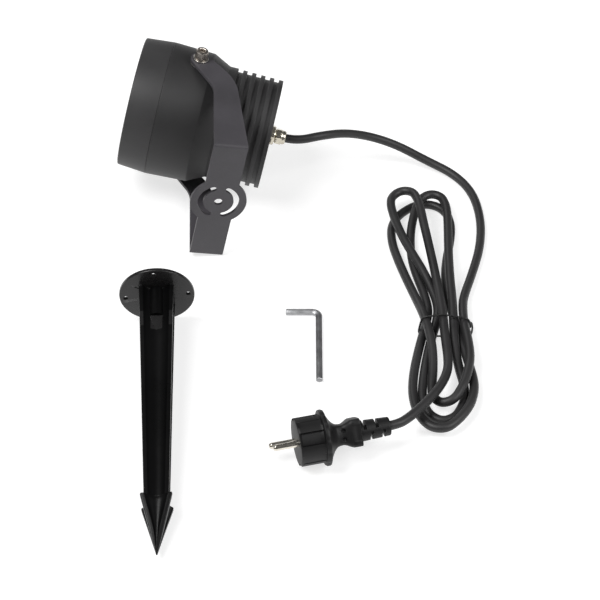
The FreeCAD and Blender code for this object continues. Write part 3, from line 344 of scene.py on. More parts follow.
def smoothed(path: Array, times: int, closed: bool) -> Array:
    """A path whose points move to a quarter, a half and a quarter of their neighbours' and own places.

    Args:
        path: points along the path.
        times: how often that is done.
        closed: the path runs back to its first point; otherwise its ends stay.

    Returns:
        The smoothed points.
    """
    path = path.copy()
    for _ in range(times):
        moved = (np.roll(path, 1, 0) + 2 * path + np.roll(path, -1, 0)) / 4
        keep = slice(None) if closed else slice(1, -1)
        path[keep] = moved[keep]
    return path


def link(name: str, data: bpy.types.ID) -> bpy.types.Object:
    """New object of that name in the scene, at the origin."""
    made = bpy.data.objects.new(name, data)
    bpy.context.scene.collection.objects.link(made)
    return made


def apply_modifiers(piece: bpy.types.Object) -> None:
    """Bake the piece's modifiers into its mesh.

    Args:
        piece: the object, whose mesh is replaced.
    """
    graph = bpy.context.evaluated_depsgraph_get()
    baked = bpy.data.meshes.new_from_object(piece.evaluated_get(graph))
    piece.modifiers.clear()
    piece.data = baked


def carve(piece: bpy.types.Object, cutters: list[bpy.types.Object]) -> None:
    """Cut closed shapes out of a piece.

    Args:
        piece: the object that is cut.
        cutters: the closed shapes, which are removed afterwards.
    """
    for cutter in cutters:
        combine(piece, cutter, "DIFFERENCE")


def combine(piece: bpy.types.Object, other: bpy.types.Object, operation: str) -> None:
    """Join a closed shape to a piece, or cut it out of the piece.

    Args:
        piece: the object that is changed.
        other: the closed shape, which is removed afterwards.
        operation: UNION or DIFFERENCE.
    """
    step = piece.modifiers.new(operation.lower(), "BOOLEAN")
    step.operation, step.solver, step.object = operation, "EXACT", other
    step.use_self = operation == "UNION"
    bpy.context.view_layer.update()
    apply_modifiers(piece)
    bpy.data.objects.remove(other)


def soften_edges(piece: bpy.types.Object, width: float, angle: float) -> None:
    """Round a piece's edges.

    Args:
        piece: the object that is changed.
        width: width of the rounding.
        angle: edges steeper than this are rounded.
    """
    step = piece.modifiers.new("edges", "BEVEL")
    step.width, step.segments, step.limit_method = width * MM, 2, "ANGLE"
    step.angle_limit, step.harden_normals = math.radians(angle), False
    step.use_clamp_overlap = True
    apply_modifiers(piece)
    piece.data.shade_smooth()
    piece.data.set_sharp_from_angle(angle=math.radians(50))


# ---------------------------------------------------------------- finishes

def make_group(name: str, inputs: list[tuple[str, str, object]],
               outputs: list[tuple[str, str]]) -> tuple[bpy.types.NodeTree, object, object]:
    """A shader node group with its sockets.

    Args:
        name: group name.
        inputs: (name, socket type, default) of each input.
        outputs: (name, socket type) of each output.

    Returns:
        The group, its input node and its output node.
    """
    group = bpy.data.node_groups.new(name, "ShaderNodeTree")
    for label, kind, default in inputs:
        made = group.interface.new_socket(name=label, in_out="INPUT", socket_type=kind)
        if default is not None:
            made.default_value = default
    for label, kind in outputs:
        group.interface.new_socket(name=label, in_out="OUTPUT", socket_type=kind)
    return group, group.nodes.new("NodeGroupInput"), group.nodes.new("NodeGroupOutput")


def node(tree: bpy.types.NodeTree, kind: str, settings: dict | None = None, **links: object) -> bpy.types.Node:
    """Add a node.

    Args:
        tree: node tree that gets the node.
        kind: node type.
        settings: properties to set.
        links: for each input, by its name or as i and its number, another node's socket or a value.

    Returns:
        The node.
    """
    made = tree.nodes.new(kind)
    for key, value in (settings or {}).items():
        setattr(made, key, value)
    for key, value in links.items():
        numbered = key[0] == "i" and key[1:].isdigit()
        socket = made.inputs[int(key[1:]) if numbered else key]
        if isinstance(value, bpy.types.NodeSocket):
            tree.links.new(value, socket)
        else:
            socket.default_value = value
    return made


def surface_group() -> bpy.types.NodeTree:
    """Group that gives colour, roughness and height of a mottled, fine-grained surface.

    Two noises are mixed: a broad one moves the colour between its two ends and the roughness between its
    limits, and a fine one raises the surface.

    Returns:
        The group.
    """
    group, given, result = make_group("mottled_surface", [
        ("Vector", "NodeSocketVector", None),
        ("Dark", "NodeSocketColor", (0.02, 0.02, 0.02, 1.0)),
        ("Light", "NodeSocketColor", (0.05, 0.05, 0.05, 1.0)),
        ("Broad Scale", "NodeSocketFloat", 30.0),
        ("Fine Scale", "NodeSocketFloat", 900.0),
        ("Fine Share", "NodeSocketFloat", 0.35),
        ("Rough Low", "NodeSocketFloat", 0.4),
        ("Rough High", "NodeSocketFloat", 0.6),
    ], [("Color", "NodeSocketColor"), ("Roughness", "NodeSocketFloat"), ("Height", "NodeSocketFloat")])
    broad = node(group, "ShaderNodeTexNoise", {"noise_dimensions": "3D"}, Vector=given.outputs["Vector"],
                 Scale=given.outputs["Broad Scale"], Detail=3.0, Roughness=0.55)
    fine = node(group, "ShaderNodeTexNoise", {"noise_dimensions": "3D"}, Vector=given.outputs["Vector"],
                Scale=given.outputs["Fine Scale"], Detail=2.0, Roughness=0.6)
    both = node(group, "ShaderNodeMix", {"data_type": "FLOAT"}, i0=given.outputs["Fine Share"],
                i2=broad.outputs["Fac"], i3=fine.outputs["Fac"])
    spread = node(group, "ShaderNodeMapRange", {"clamp": True}, Value=both.outputs[0], i1=0.3, i2=0.7)
    colour = node(group, "ShaderNodeMix", {"data_type": "RGBA"}, i0=spread.outputs[0],
                  i6=given.outputs["Dark"], i7=given.outputs["Light"])
    rough = node(group, "ShaderNodeMix", {"data_type": "FLOAT"}, i0=spread.outputs[0],
                 i2=given.outputs["Rough Low"], i3=given.outputs["Rough High"])
    group.links.new(colour.outputs[2], result.inputs["Color"])
    group.links.new(rough.outputs[0], result.inputs["Roughness"])
    group.links.new(fine.outputs["Fac"], result.inputs["Height"])
    return group


def brushed_group() -> bpy.types.NodeTree:
    """Group that gives the mask of fine lines left by turning or drawing a metal.

    The position is stretched by a different factor along each axis, so the noise becomes lines.

    Returns:
        The group.
    """
    group, given, result = make_group("drawn_lines", [
        ("Vector", "NodeSocketVector", None),
        ("Stretch", "NodeSocketVector", (1.0, 1.0, 20.0)),
        ("Scale", "NodeSocketFloat", 400.0),
    ], [("Mask", "NodeSocketFloat")])
    pulled = node(group, "ShaderNodeVectorMath", {"operation": "MULTIPLY"}, i0=given.outputs["Vector"],
                  i1=given.outputs["Stretch"])
    lines = node(group, "ShaderNodeTexNoise", {"noise_dimensions": "3D"}, Vector=pulled.outputs[0],
                 Scale=given.outputs["Scale"], Detail=3.0, Roughness=0.65)
    group.links.new(lines.outputs["Fac"], result.inputs["Mask"])
    return group


GROUPS: dict[str, bpy.types.NodeTree] = {}


class Pattern(Enum):
    """How the fine relief of a finish runs."""

    GRAIN = "grain"
    LINES = "lines"


@dataclass(frozen=True)
class Finish:
    """An opaque finish: two ends of its colour, its roughness limits and its fine relief."""

    name: str
    dark: tuple[float, float, float]
    light: tuple[float, float, float]
    rough: tuple[float, float] = (0.45, 0.6)
    metallic: float = 0.0
    specular: float = 0.5
    broad_scale: float = 28.0
    fine_scale: float = 1400.0
    fine_share: float = 0.35
    relief: float = 0.15
    relief_depth: float = 0.00006
    coat: float = 0.0
    coat_rough: float = 0.2
    pattern: Pattern = Pattern.GRAIN
    stretch: tuple[float, float, float] = (1.0, 1.0, 20.0)

    def build(self) -> bpy.types.Material:
        """Make the node material of this finish.

        Returns:
            The material.
        """
        material = bpy.data.materials.new(self.name)
        material.use_nodes = True
        tree = material.node_tree
        shader = tree.nodes["Principled BSDF"]
        place = node(tree, "ShaderNodeTexCoord")
        surface = node(tree, "ShaderNodeGroup", {"node_tree": GROUPS["surface"]})
        tree.links.new(place.outputs["Object"], surface.inputs["Vector"])
        for label, value in (("Dark", (*self.dark, 1.0)), ("Light", (*self.light, 1.0)),
                             ("Broad Scale", self.broad_scale), ("Fine Scale", self.fine_scale),
                             ("Fine Share", self.fine_share), ("Rough Low", self.rough[0]),
                             ("Rough High", self.rough[1])):
            surface.inputs[label].default_value = value
        height = surface.outputs["Height"]
        if self.pattern is Pattern.LINES:
            lines = node(tree, "ShaderNodeGroup", {"node_tree": GROUPS["lines"]})
            tree.links.new(place.outputs["Object"], lines.inputs["Vector"])
            lines.inputs["Stretch"].default_value = self.stretch
            height = lines.outputs["Mask"]
        bump = node(tree, "ShaderNodeBump", Strength=self.relief, Distance=self.relief_depth, Height=height)
        tree.links.new(surface.outputs["Color"], shader.inputs["Base Color"])
        tree.links.new(surface.outputs["Roughness"], shader.inputs["Roughness"])
        tree.links.new(bump.outputs["Normal"], shader.inputs["Normal"])
        shader.inputs["Metallic"].default_value = self.metallic
        shader.inputs["Specular IOR Level"].default_value = self.specular
        shader.inputs["Coat Weight"].default_value = self.coat
        shader.inputs["Coat Roughness"].default_value = self.coat_rough
        material.diffuse_color = (*self.light, 1.0)
        return material


@dataclass(frozen=True)
class ClearFinish:
    """A see-through finish."""

    name: str
    tint: tuple[float, float, float]
    rough: float = 0.02
    ior: float = 1.5

    def build(self) -> bpy.types.Material:
        """Make the node material of this finish, with a faint unevenness on its surface.

        Returns:
            The material.
        """
        material = bpy.data.materials.new(self.name)
        material.use_nodes = True
        tree = material.node_tree
        shader = tree.nodes["Principled BSDF"]
        place = node(tree, "ShaderNodeTexCoord")
        film = node(tree, "ShaderNodeTexNoise", Vector=place.outputs["Object"], Scale=60.0, Detail=2.0)
        rough = node(tree, "ShaderNodeMapRange", Value=film.outputs["Fac"], i3=self.rough, i4=self.rough + 0.04)
        tree.links.new(rough.outputs[0], shader.inputs["Roughness"])
        shader.inputs["Base Color"].default_value = (*self.tint, 1.0)
        shader.inputs["Transmission Weight"].default_value = 1.0
        shader.inputs["IOR"].default_value = self.ior
        return material


FINISHES: list[Finish | ClearFinish] = [
    Finish("lamp_powder_coat", (0.0125, 0.0122, 0.0127), (0.0215, 0.0208, 0.0216), rough=(0.50, 0.60),
           fine_scale=1500.0, relief=0.35, relief_depth=0.00008),
    # Painted sheen: a lighter copy of the lamp's powder coat for the hood, standing in for the light that the hood
    # catches.
    Finish("hood_powder_coat_painted_sheen", (0.0185, 0.018, 0.0187), (0.0315, 0.0305, 0.0316), rough=(0.50, 0.60),
           fine_scale=1500.0, relief=0.35, relief_depth=0.00008),
    # Painted sheen: a lighter copy of the lamp's powder coat for the finned heat sink, standing in for light on its
    # fins.
    Finish("fin_powder_coat_painted_sheen", (0.0175, 0.017, 0.0177), (0.030, 0.029, 0.030), rough=(0.50, 0.60),
           fine_scale=1500.0, relief=0.35, relief_depth=0.00008),
    Finish("bracket_powder_coat", (0.041, 0.0385, 0.0435), (0.063, 0.059, 0.067), rough=(0.46, 0.56),
           fine_scale=1500.0, relief=0.35, relief_depth=0.00008),
    Finish("washer_steel", (0.42, 0.40, 0.37), (0.60, 0.58, 0.54), rough=(0.25, 0.4), metallic=1.0,
           broad_scale=300.0, pattern=Pattern.LINES, relief=0.25, relief_depth=0.00003),
    Finish("screw_steel", (0.30, 0.275, 0.25), (0.48, 0.44, 0.40), rough=(0.28, 0.42), metallic=1.0,
           broad_scale=300.0, pattern=Pattern.LINES, relief=0.25, relief_depth=0.00003),
    Finish("gland_nickel", (0.50, 0.46, 0.38), (0.70, 0.66, 0.56), rough=(0.16, 0.3), metallic=1.0,
           broad_scale=220.0, pattern=Pattern.LINES, relief=0.2, relief_depth=0.00003),
    Finish("seal_rubber", (0.012, 0.012, 0.012), (0.022, 0.022, 0.022), rough=(0.6, 0.75), relief=0.3),
    # Two copies of the stake's one black plastic: this lighter, glossier one is painted sheen on the flange and the
    # post's facet, the darker, duller one below is painted shade on the spike.
    Finish("stake_plastic", (0.0100, 0.0096, 0.0099), (0.0165, 0.0160, 0.0164), rough=(0.24, 0.32),
           fine_scale=300.0, broad_scale=18.0, fine_share=0.2, relief=0.05, relief_depth=0.00006, specular=0.42),
    Finish("spike_plastic_painted_shade", (0.0016, 0.0016, 0.0017), (0.0028, 0.0028, 0.0030), rough=(0.26, 0.36),
           fine_scale=300.0, broad_scale=18.0, fine_share=0.2, relief=0.05, relief_depth=0.00006, specular=0.22),
    Finish("key_oxide", (0.21, 0.21, 0.217), (0.44, 0.445, 0.455), rough=(0.34, 0.46), metallic=0.88,
           broad_scale=160.0, pattern=Pattern.LINES, relief=0.3, relief_depth=0.00004),
    Finish("cable_rubber", (0.0150, 0.0145, 0.0150), (0.0275, 0.0268, 0.0275), rough=(0.44, 0.56),
           fine_scale=1800.0, relief=0.4, relief_depth=0.00007, specular=0.5),
    Finish("plug_rubber", (0.0030, 0.0029, 0.0031), (0.0062, 0.0060, 0.0063), rough=(0.46, 0.58),
           fine_scale=1600.0, relief=0.5, relief_depth=0.00009, specular=0.36),
    Finish("contact_nickel", (0.62, 0.58, 0.50), (0.80, 0.76, 0.68), rough=(0.14, 0.26), metallic=1.0,
           broad_scale=200.0, pattern=Pattern.LINES, relief=0.15, relief_depth=0.00003),
    Finish("tie_wire", (0.010, 0.010, 0.010), (0.018, 0.018, 0.018), rough=(0.35, 0.5), relief=0.3),
    Finish("inner_black", (0.010, 0.010, 0.010), (0.018, 0.018, 0.018), rough=(0.55, 0.7), relief=0.3),
    Finish("reflector_bright", (0.75, 0.75, 0.76), (0.88, 0.88, 0.89), rough=(0.08, 0.16), metallic=1.0,
           relief=0.05),
    Finish("board_lacquer", (0.012, 0.075, 0.030), (0.020, 0.115, 0.048), rough=(0.25, 0.4), relief=0.3,
           coat=0.4),
    Finish("component_case", (0.02, 0.02, 0.05), (0.04, 0.04, 0.08), rough=(0.3, 0.5), relief=0.2),
    Finish("wheel_film", (0.02, 0.16, 0.07), (0.05, 0.30, 0.14), rough=(0.1, 0.2), relief=0.05, broad_scale=60.0),
    ClearFinish("window_glass", (0.93, 0.96, 0.95)),
    ClearFinish("lens_glass", (0.96, 0.97, 0.98)),
]
MATERIALS: dict[str, bpy.types.Material] = {}


def build_finishes() -> None:
    """Build the shared node groups and every finish."""
    GROUPS["surface"] = surface_group()
    GROUPS["lines"] = brushed_group()
    for finish in FINISHES:
        MATERIALS[finish.name] = finish.build()


def dress(piece: bpy.types.Object, finish: str) -> bpy.types.Object:
    """Give a piece one finish all over.

    Args:
        piece: the object.
        finish: name of the finish.

    Returns:
        The piece.
    """
    piece.data.materials.clear()
    piece.data.materials.append(MATERIALS[finish])
    return piece


def stand_in(piece: bpy.types.Object, body: str, slot: str, *nodes: str) -> bpy.types.Object:
    """Let a finished piece ride on a body and stand for CAD nodes.

    Args:
        piece: the object.
        body: the body that it moves with.
        slot: not used.
        nodes: the CAD nodes that it stands for.

    Returns:
        The piece.
    """
    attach(piece, body)
    if nodes:
        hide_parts(*nodes)
    size = len(getattr(piece.data, "polygons", [])) or "no"
    LOG.info("%s: %s faces, rides on %s", piece.name, size, body)
    return piece


# ---------------------------------------------------------------- studio

@dataclass(frozen=True)
class Lamp:
    """A round soft lamp: its place and size in metres and its power in watts."""

    name: str
    place: tuple[float, float, float]
    size: float
    power: float


@dataclass
class Studio:
    """Camera, floor and lights."""

    look_at: tuple[float, float, float] = (0.0675, 0.028, 0.0)
    elevation: float = 44.0
    distance: float = 1.6
    lens: float = 120.0
    sensor: float = 36.0
    floor_side: float = 6.0
    floor_grey: float = 0.45
    floor_glow: float = 0.70
    surround: float = 0.10
    lit_point: tuple[float, float, float] = (0.06, 0.03, 0.03)
    lamps: tuple[Lamp, ...] = (
        Lamp("key", (-0.75, -0.25, 1.5), 1.0, 24.0), Lamp("fill", (1.25, -0.45, 1.2), 1.0, 15.0),
        Lamp("back", (-0.5, 1.7, 0.9), 0.7, 4.0))

    def build(self) -> None:
        """Make the camera, then the floor, then the lights."""
        self.make_camera()
        self.make_floor()
        self.make_lights()

    def make_camera(self) -> None:
        """Camera looking along +Y and down."""
        data = bpy.data.cameras.new("camera")
        data.lens, data.sensor_width = self.lens, self.sensor
        data.clip_start, data.clip_end = 0.05, 30.0
        camera = link("camera", data)
        tilt = math.radians(self.elevation)
        camera.location = Vector(self.look_at) + self.distance * Vector((0.0, -math.cos(tilt), math.sin(tilt)))
        camera.rotation_euler = (math.pi / 2 - tilt, 0.0, 0.0)
        bpy.context.scene.camera = camera

    def make_floor(self) -> None:
        """Plain pale floor that glows a little, so the shadows on it stay faint."""
        half = self.floor_side / 2
        data = bpy.data.meshes.new("floor")
        corners = [(-half, -half, 0), (half, -half, 0), (half, half, 0), (-half, half, 0)]
        data.from_pydata(corners, [], [(0, 1, 2, 3)])
        floor = link("floor", data)
        material = bpy.data.materials.new("floor_white")
        material.use_nodes = True
        shader = material.node_tree.nodes["Principled BSDF"]
        shader.inputs["Base Color"].default_value = (self.floor_grey, self.floor_grey, self.floor_grey, 1.0)
        shader.inputs["Roughness"].default_value = 0.9
        shader.inputs["Specular IOR Level"].default_value = 0.1
        shader.inputs["Emission Color"].default_value = (1.0, 1.0, 1.0, 1.0)
        shader.inputs["Emission Strength"].default_value = self.floor_glow
        data.materials.append(material)

    def make_lights(self) -> None:
        """Dim even surroundings with three soft lamps."""
        world = bpy.data.worlds.new("studio")
        bpy.context.scene.world = world
        world.use_nodes = True
        surround = world.node_tree.nodes["Background"]
        surround.inputs["Color"].default_value = (1.0, 1.0, 1.0, 1.0)
        surround.inputs["Strength"].default_value = self.surround
        bpy.context.scene.view_settings.view_transform = "Standard"
        for lamp in self.lamps:
            data = bpy.data.lights.new(lamp.name, "AREA")
            data.shape, data.size, data.energy = "DISK", lamp.size, lamp.power
            made = link(lamp.name, data)
            made.location = lamp.place
            made.rotation_euler = (Vector(self.lit_point) - Vector(lamp.place)).to_track_quat("-Z", "Y").to_euler()


# ---------------------------------------------------------------- lead

@dataclass
class Lead:
    """The mains cable from the gland to the plug, in one line with its hank.

    The two ends are in the head's and the plug's own frames, in millimetres. The rest is in the shared
    frame, in metres: the run to the hank, then each half turn of the hank by the place of its bend.
    """

    diameter: float = 0.0072
    gland_mouth: float = 82.6
    sleeve_end: float = 70.4
    to_hank: list[tuple[float, float, float]] = field(default_factory=lambda: [
        (0.0860, 0.1735, 0.0505), (0.1060, 0.1880, 0.0415), (0.1280, 0.1990, 0.0285), (0.1508, 0.1995, 0.0184),
        (0.1749, 0.1914, 0.0086), (0.1989, 0.1782, 0.0042), (0.2134, 0.1543, 0.0040), (0.2181, 0.1203, 0.0040),
        (0.2154, 0.0873, 0.0040), (0.2069, 0.0551, 0.0043), (0.1978, 0.0255, 0.0057), (0.1961, 0.0102, 0.0092)])
    inner_lobe: list[tuple[float, float, float]] = field(default_factory=lambda: [
        (0.1956, -0.0097, 0.0122), (0.1978, -0.0293, 0.0130), (0.1985, -0.0490, 0.0138), (0.1949, -0.0678, 0.0144),
        (0.1903, -0.0810, 0.0136), (0.1836, -0.0920, 0.0114), (0.1738, -0.0928, 0.0082), (0.1678, -0.0838, 0.0064),
        (0.1678, -0.0736, 0.0063), (0.1694, -0.0599, 0.0075), (0.1702, -0.0417, 0.0098), (0.1687, -0.0235, 0.0126),
        (0.1651, -0.0051, 0.0136)])
    wide_loop: list[tuple[float, float, float]] = field(default_factory=lambda: [
        (0.1618, 0.0141, 0.0083), (0.1569, 0.0330, 0.0062), (0.1518, 0.0516, 0.0054), (0.1470, 0.0703, 0.0051),
        (0.1431, 0.0891, 0.0048), (0.1426, 0.1083, 0.0046), (0.1476, 0.1220, 0.0044), (0.1548, 0.1305, 0.0042),
        (0.1634, 0.1375, 0.0040), (0.1740, 0.1399, 0.0039), (0.1840, 0.1360, 0.0039), (0.1902, 0.1271, 0.0038),
        (0.1923, 0.1164, 0.0039), (0.1924, 0.1054, 0.0039), (0.1905, 0.0911, 0.0039), (0.1869, 0.0725, 0.0039),
        (0.1847, 0.0536, 0.0038), (0.1847, 0.0345, 0.0039), (0.1867, 0.0155, 0.0040)])
    outer_lobe: list[tuple[float, float, float]] = field(default_factory=lambda: [
        (0.1902, -0.0036, 0.0054), (0.1932, -0.0229, 0.0048), (0.1964, -0.0424, 0.0057), (0.1997, -0.0619, 0.0068),
        (0.2002, -0.0772, 0.0079), (0.1968, -0.0918, 0.0086), (0.1916, -0.1019, 0.0088), (0.1850, -0.1108, 0.0087),
        (0.1768, -0.1181, 0.0083), (0.1661, -0.1171, 0.0078), (0.1589, -0.1083, 0.0073), (0.1550, -0.0974, 0.0068),
        (0.1533, -0.0860, 0.0063), (0.1532, -0.0744, 0.0057), (0.1546, -0.0595, 0.0051), (0.1571, -0.0447, 0.0046),
        (0.1611, -0.0258, 0.0043), (0.1660, -0.0073, 0.0054)])
    narrow_loop: list[tuple[float, float, float]] = field(default_factory=lambda: [
        (0.1696, 0.0112, 0.0039), (0.1670, 0.0299, 0.0038), (0.1626, 0.0483, 0.0038), (0.1589, 0.0668, 0.0039),
        (0.1579, 0.0857, 0.0040), (0.1589, 0.1044, 0.0051), (0.1614, 0.1179, 0.0076), (0.1639, 0.1277, 0.0097),
        (0.1675, 0.1370, 0.0115), (0.1758, 0.1437, 0.0121), (0.1853, 0.1407, 0.0121), (0.1886, 0.1311, 0.0120),
        (0.1895, 0.1206, 0.0119), (0.1894, 0.1098, 0.0118), (0.1889, 0.0953, 0.0117), (0.1883, 0.0806, 0.0117),
        (0.1878, 0.0614, 0.0118), (0.1876, 0.0421, 0.0119), (0.1879, 0.0228, 0.0120), (0.1880, 0.0037, 0.0120)])
    middle_lobe: list[tuple[float, float, float]] = field(default_factory=lambda: [
        (0.1874, -0.0152, 0.0110), (0.1877, -0.0336, 0.0081), (0.1895, -0.0519, 0.0054), (0.1929, -0.0702, 0.0044),
        (0.1926, -0.0842, 0.0040), (0.1892, -0.0940, 0.0038), (0.1841, -0.1029, 0.0038), (0.1747, -0.1072, 0.0038),
        (0.1659, -0.1017, 0.0038), (0.1616, -0.0922, 0.0038), (0.1602, -0.0817, 0.0038), (0.1610, -0.0709, 0.0039),
        (0.1629, -0.0565, 0.0038), (0.1662, -0.0378, 0.0038), (0.1705, -0.0192, 0.0054), (0.1756, -0.0008, 0.0054)])
    top_loop: list[tuple[float, float, float]] = field(default_factory=lambda: [
        (0.1772, 0.0179, 0.0043), (0.1723, 0.0356, 0.0074), (0.1658, 0.0528, 0.0107), (0.1587, 0.0701, 0.0116),
        (0.1525, 0.0879, 0.0110), (0.1473, 0.1057, 0.0114), (0.1442, 0.1187, 0.0131), (0.1428, 0.1283, 0.0137),
        (0.1439, 0.1375, 0.0139), (0.1517, 0.1443, 0.0150), (0.1610, 0.1412, 0.0169), (0.1645, 0.1320, 0.0183),
        (0.1663, 0.1217, 0.0192), (0.1677, 0.1112, 0.0183), (0.1692, 0.1008, 0.0162), (0.1714, 0.0870, 0.0135),
        (0.1738, 0.0685, 0.0117), (0.1757, 0.0497, 0.0118), (0.1771, 0.0308, 0.0135), (0.1784, 0.0121, 0.0150)])
    to_plug: list[tuple[float, float, float]] = field(default_factory=lambda: [
        (0.1796, -0.0062, 0.0149), (0.1798, -0.0244, 0.0143), (0.1815, -0.0536, 0.0128), (0.1788, -0.0687, 0.0136),
        (0.1721, -0.0841, 0.0154), (0.1641, -0.0970, 0.0170), (0.1559, -0.1084, 0.0186), (0.1482, -0.1180, 0.0200)])

    def route(self) -> list[Vector]:
        """All control points of the cable, from inside the gland's nut to inside the plug's sleeve.

        Returns:
            The points, in the shared frame.
        """
        middle = [self.to_hank, self.inner_lobe, self.wide_loop, self.outer_lobe, self.narrow_loop,
                  self.middle_lobe, self.top_loop, self.to_plug]
        return [HEAD.point(self.gland_mouth - 1.5, 0, 0), HEAD.point(self.gland_mouth + 9.5, 0, 0),
                *[Vector(point) for part in middle for point in part],
                PLUG.point(self.sleeve_end + 7, 0, 0), PLUG.point(self.sleeve_end - 3, 0, 0)]

    def build(self) -> bpy.types.Object:
        """Make the cable as one spline.

        Returns:
            The piece.
        """
        points = self.route()
        data = bpy.data.curves.new("mains_cable", "CURVE")
        data.dimensions = "3D"
        spline = data.splines.new("NURBS")
        spline.points.add(len(points) - 1)
        spline.points.foreach_set("co", [x for point in points for x in (*point, 1.0)])
        spline.order_u = 3
        spline.use_endpoint_u = True
        data.resolution_u = 10
        data.bevel_depth = self.diameter / 2
        data.bevel_resolution = 6
        data.use_fill_caps = True
        cable = dress(link("mains_cable", data), "cable_rubber")
        return stand_in(cable, "lamp_head", "cable_rubber", "cable_lead", "cable_hank", "cable_tail")

    def line(self, cable: bpy.types.Object) -> Array:
        """Points along the cable's own smooth line.

        Args:
            cable: the cable's object.

        Returns:
            The points, in the shared frame, in metres.
        """
        bare = cable.data.copy()
        bare.bevel_depth = 0.0
        probe = link("probe", bare)
        bpy.context.view_layer.update()
        graph = bpy.context.evaluated_depsgraph_get()
        mesh = bpy.data.meshes.new_from_object(probe.evaluated_get(graph))
        points = np.zeros(len(mesh.vertices) * 3)
        mesh.vertices.foreach_get("co", points)
        bpy.data.objects.remove(probe)
        return points.reshape(-1, 3)


# ---------------------------------------------------------------- lamp head

@dataclass
class LampHead:
    """Hood, housing and finned heat sink, turned about the beam axis."""

    front: float = -48.3
    seam: float = -24.3
    front_radius: float = 53.4
    seam_radius: float = 55.5
    window_radius: float = 47.2
    lip_depth: float = 8.0
    spigot: float = 49.9
    spigot_bore: float = 46.6
    cylinder_back: float = 9.8
    cylinder_radius: float = 54.1
    neck_front: float = 24.4
    neck_radius: float = 46.9
    neck_back: float = 31.6
    wall: float = 3.0
    boss_radius: float = 8.0
    boss_reach: float = 55.4
    fins: int = 5
    pitch: float = 7.64
    groove: float = 4.0
    fin_radius: float = 46.5
    fin_taper: float = 0.2
    fin_depth: float = 2.4
    sink_radius: float = 43.7
    sink_shelf: float = 25.8
    column_front: float = 12.0
    column_radius: float = 17.0
    rear_step: float = 0.8
    rear_ring: tuple[float, float] = (38.0, 13.2)
    around: int = 192

    def build(self) -> None:
        """Build the three turned pieces."""
        self.hood()
        self.housing()
        self.heat_sink()

    def hood(self) -> bpy.types.Object:
        """Turned ring with a rounded lip and a broken edge at the joint.

        Returns:
            The piece.
        """
        lip = self.front + self.lip_depth
        outline = rounded([
            (self.front, self.window_radius + 1.6, 0.5), (self.front, self.front_radius, 1.3),
            (self.seam, self.seam_radius, 0.5), (self.seam, self.spigot + 0.1, 0.1),
            (lip, self.spigot + 0.1, 0.1), (lip, self.window_radius, 0.2),
            (self.front + 1.6, self.window_radius, 0.5)], 6)
        shape = Shape().sheet(turned(outline, self.around), close_rows=True)
        # The hood takes the lighter copy of the powder coat, as painted sheen.
        piece = dress(shape.mesh("hood", HEAD), "hood_powder_coat_painted_sheen")
        return stand_in(piece, "lamp_head", "lamp_coat", "front_hood")

    def housing(self) -> bpy.types.Object:
        """Spigot, cylinder, cone and neck as one closed ring, with the two round pivot bosses.

        Returns:
            The piece.
        """
        inner = min(self.cylinder_radius, self.seam_radius) - self.wall
        outline = rounded([
            (self.seam - 9.5, self.spigot_bore, 0.2), (self.seam - 9.5, self.spigot, 0.2),
            (self.seam, self.spigot, 0.1), (self.seam, self.seam_radius, 0.6),
            (self.cylinder_back, self.cylinder_radius, 1.6), (self.neck_front, self.neck_radius, 2.0),
            (self.neck_back, self.neck_radius, 0.5), (self.neck_back, self.neck_radius - self.wall, 0.1),
            (self.neck_front, self.neck_radius - self.wall, 1.0), (self.cylinder_back - 1, inner, 1.0),
            (self.seam + self.wall, inner, 0.5), (self.seam + self.wall, self.spigot_bore, 0.3)], 6)
        shape = Shape().sheet(turned(outline, self.around), close_rows=True)
        boss = rounded([(self.boss_reach - 6, 0, 0), (self.boss_reach - 6, self.boss_radius, 0.2),
                        (self.boss_reach, self.boss_radius, 0.8), (self.boss_reach, 0, 0)], 5, closed=False)
        for way in (1, -1):
            grid = facing(turned(boss, 64), "Z")
            grid[..., 2] *= way
            shape.sheet(grid)
        piece = dress(shape.mesh("housing", HEAD), "lamp_powder_coat")
        return stand_in(piece, "lamp_head", "lamp_coat", "main_housing")

    def heat_sink(self) -> bpy.types.Object:
        """Fins with rounded edges, a broad rear face with a shallow step, and the column inside.

        Returns:
            The piece.
        """
        shelf, column = self.sink_shelf, self.column_radius
        corners = [(self.column_front, 0, 0), (self.column_front, column, 0.4), (shelf, column, 0.4),
                   (shelf, self.sink_radius, 0.3), (self.neck_back, self.sink_radius, 0.1)]
        for fin in range(self.fins):
            radius, start = self.fin_radius - fin * self.fin_taper, self.neck_back + fin * self.pitch
            corners += [(start + (0.02 if fin == 0 else 0), radius - self.fin_depth, 0.25),
                        (start + self.groove, radius - self.fin_depth, 0.25),
                        (start + self.groove, radius, 0.45), (start + self.pitch, radius, 0.45)]
        rear = self.neck_back + self.fins * self.pitch
        step, outer, inner = self.rear_step, *self.rear_ring
        corners += [(rear, outer, 0.3), (rear - step, outer - step, 0.3), (rear - step, inner + step, 0.3),
                    (rear, inner, 0.3), (rear, 0, 0)]
        shape = Shape().sheet(turned(rounded(corners, 4, closed=False), self.around))
        # The heat sink takes the lighter copy of the powder coat, as painted sheen.
        piece = dress(shape.mesh("heat_sink", HEAD), "fin_powder_coat_painted_sheen")
        return stand_in(piece, "lamp_head", "lamp_coat", "finned_heat_sink")


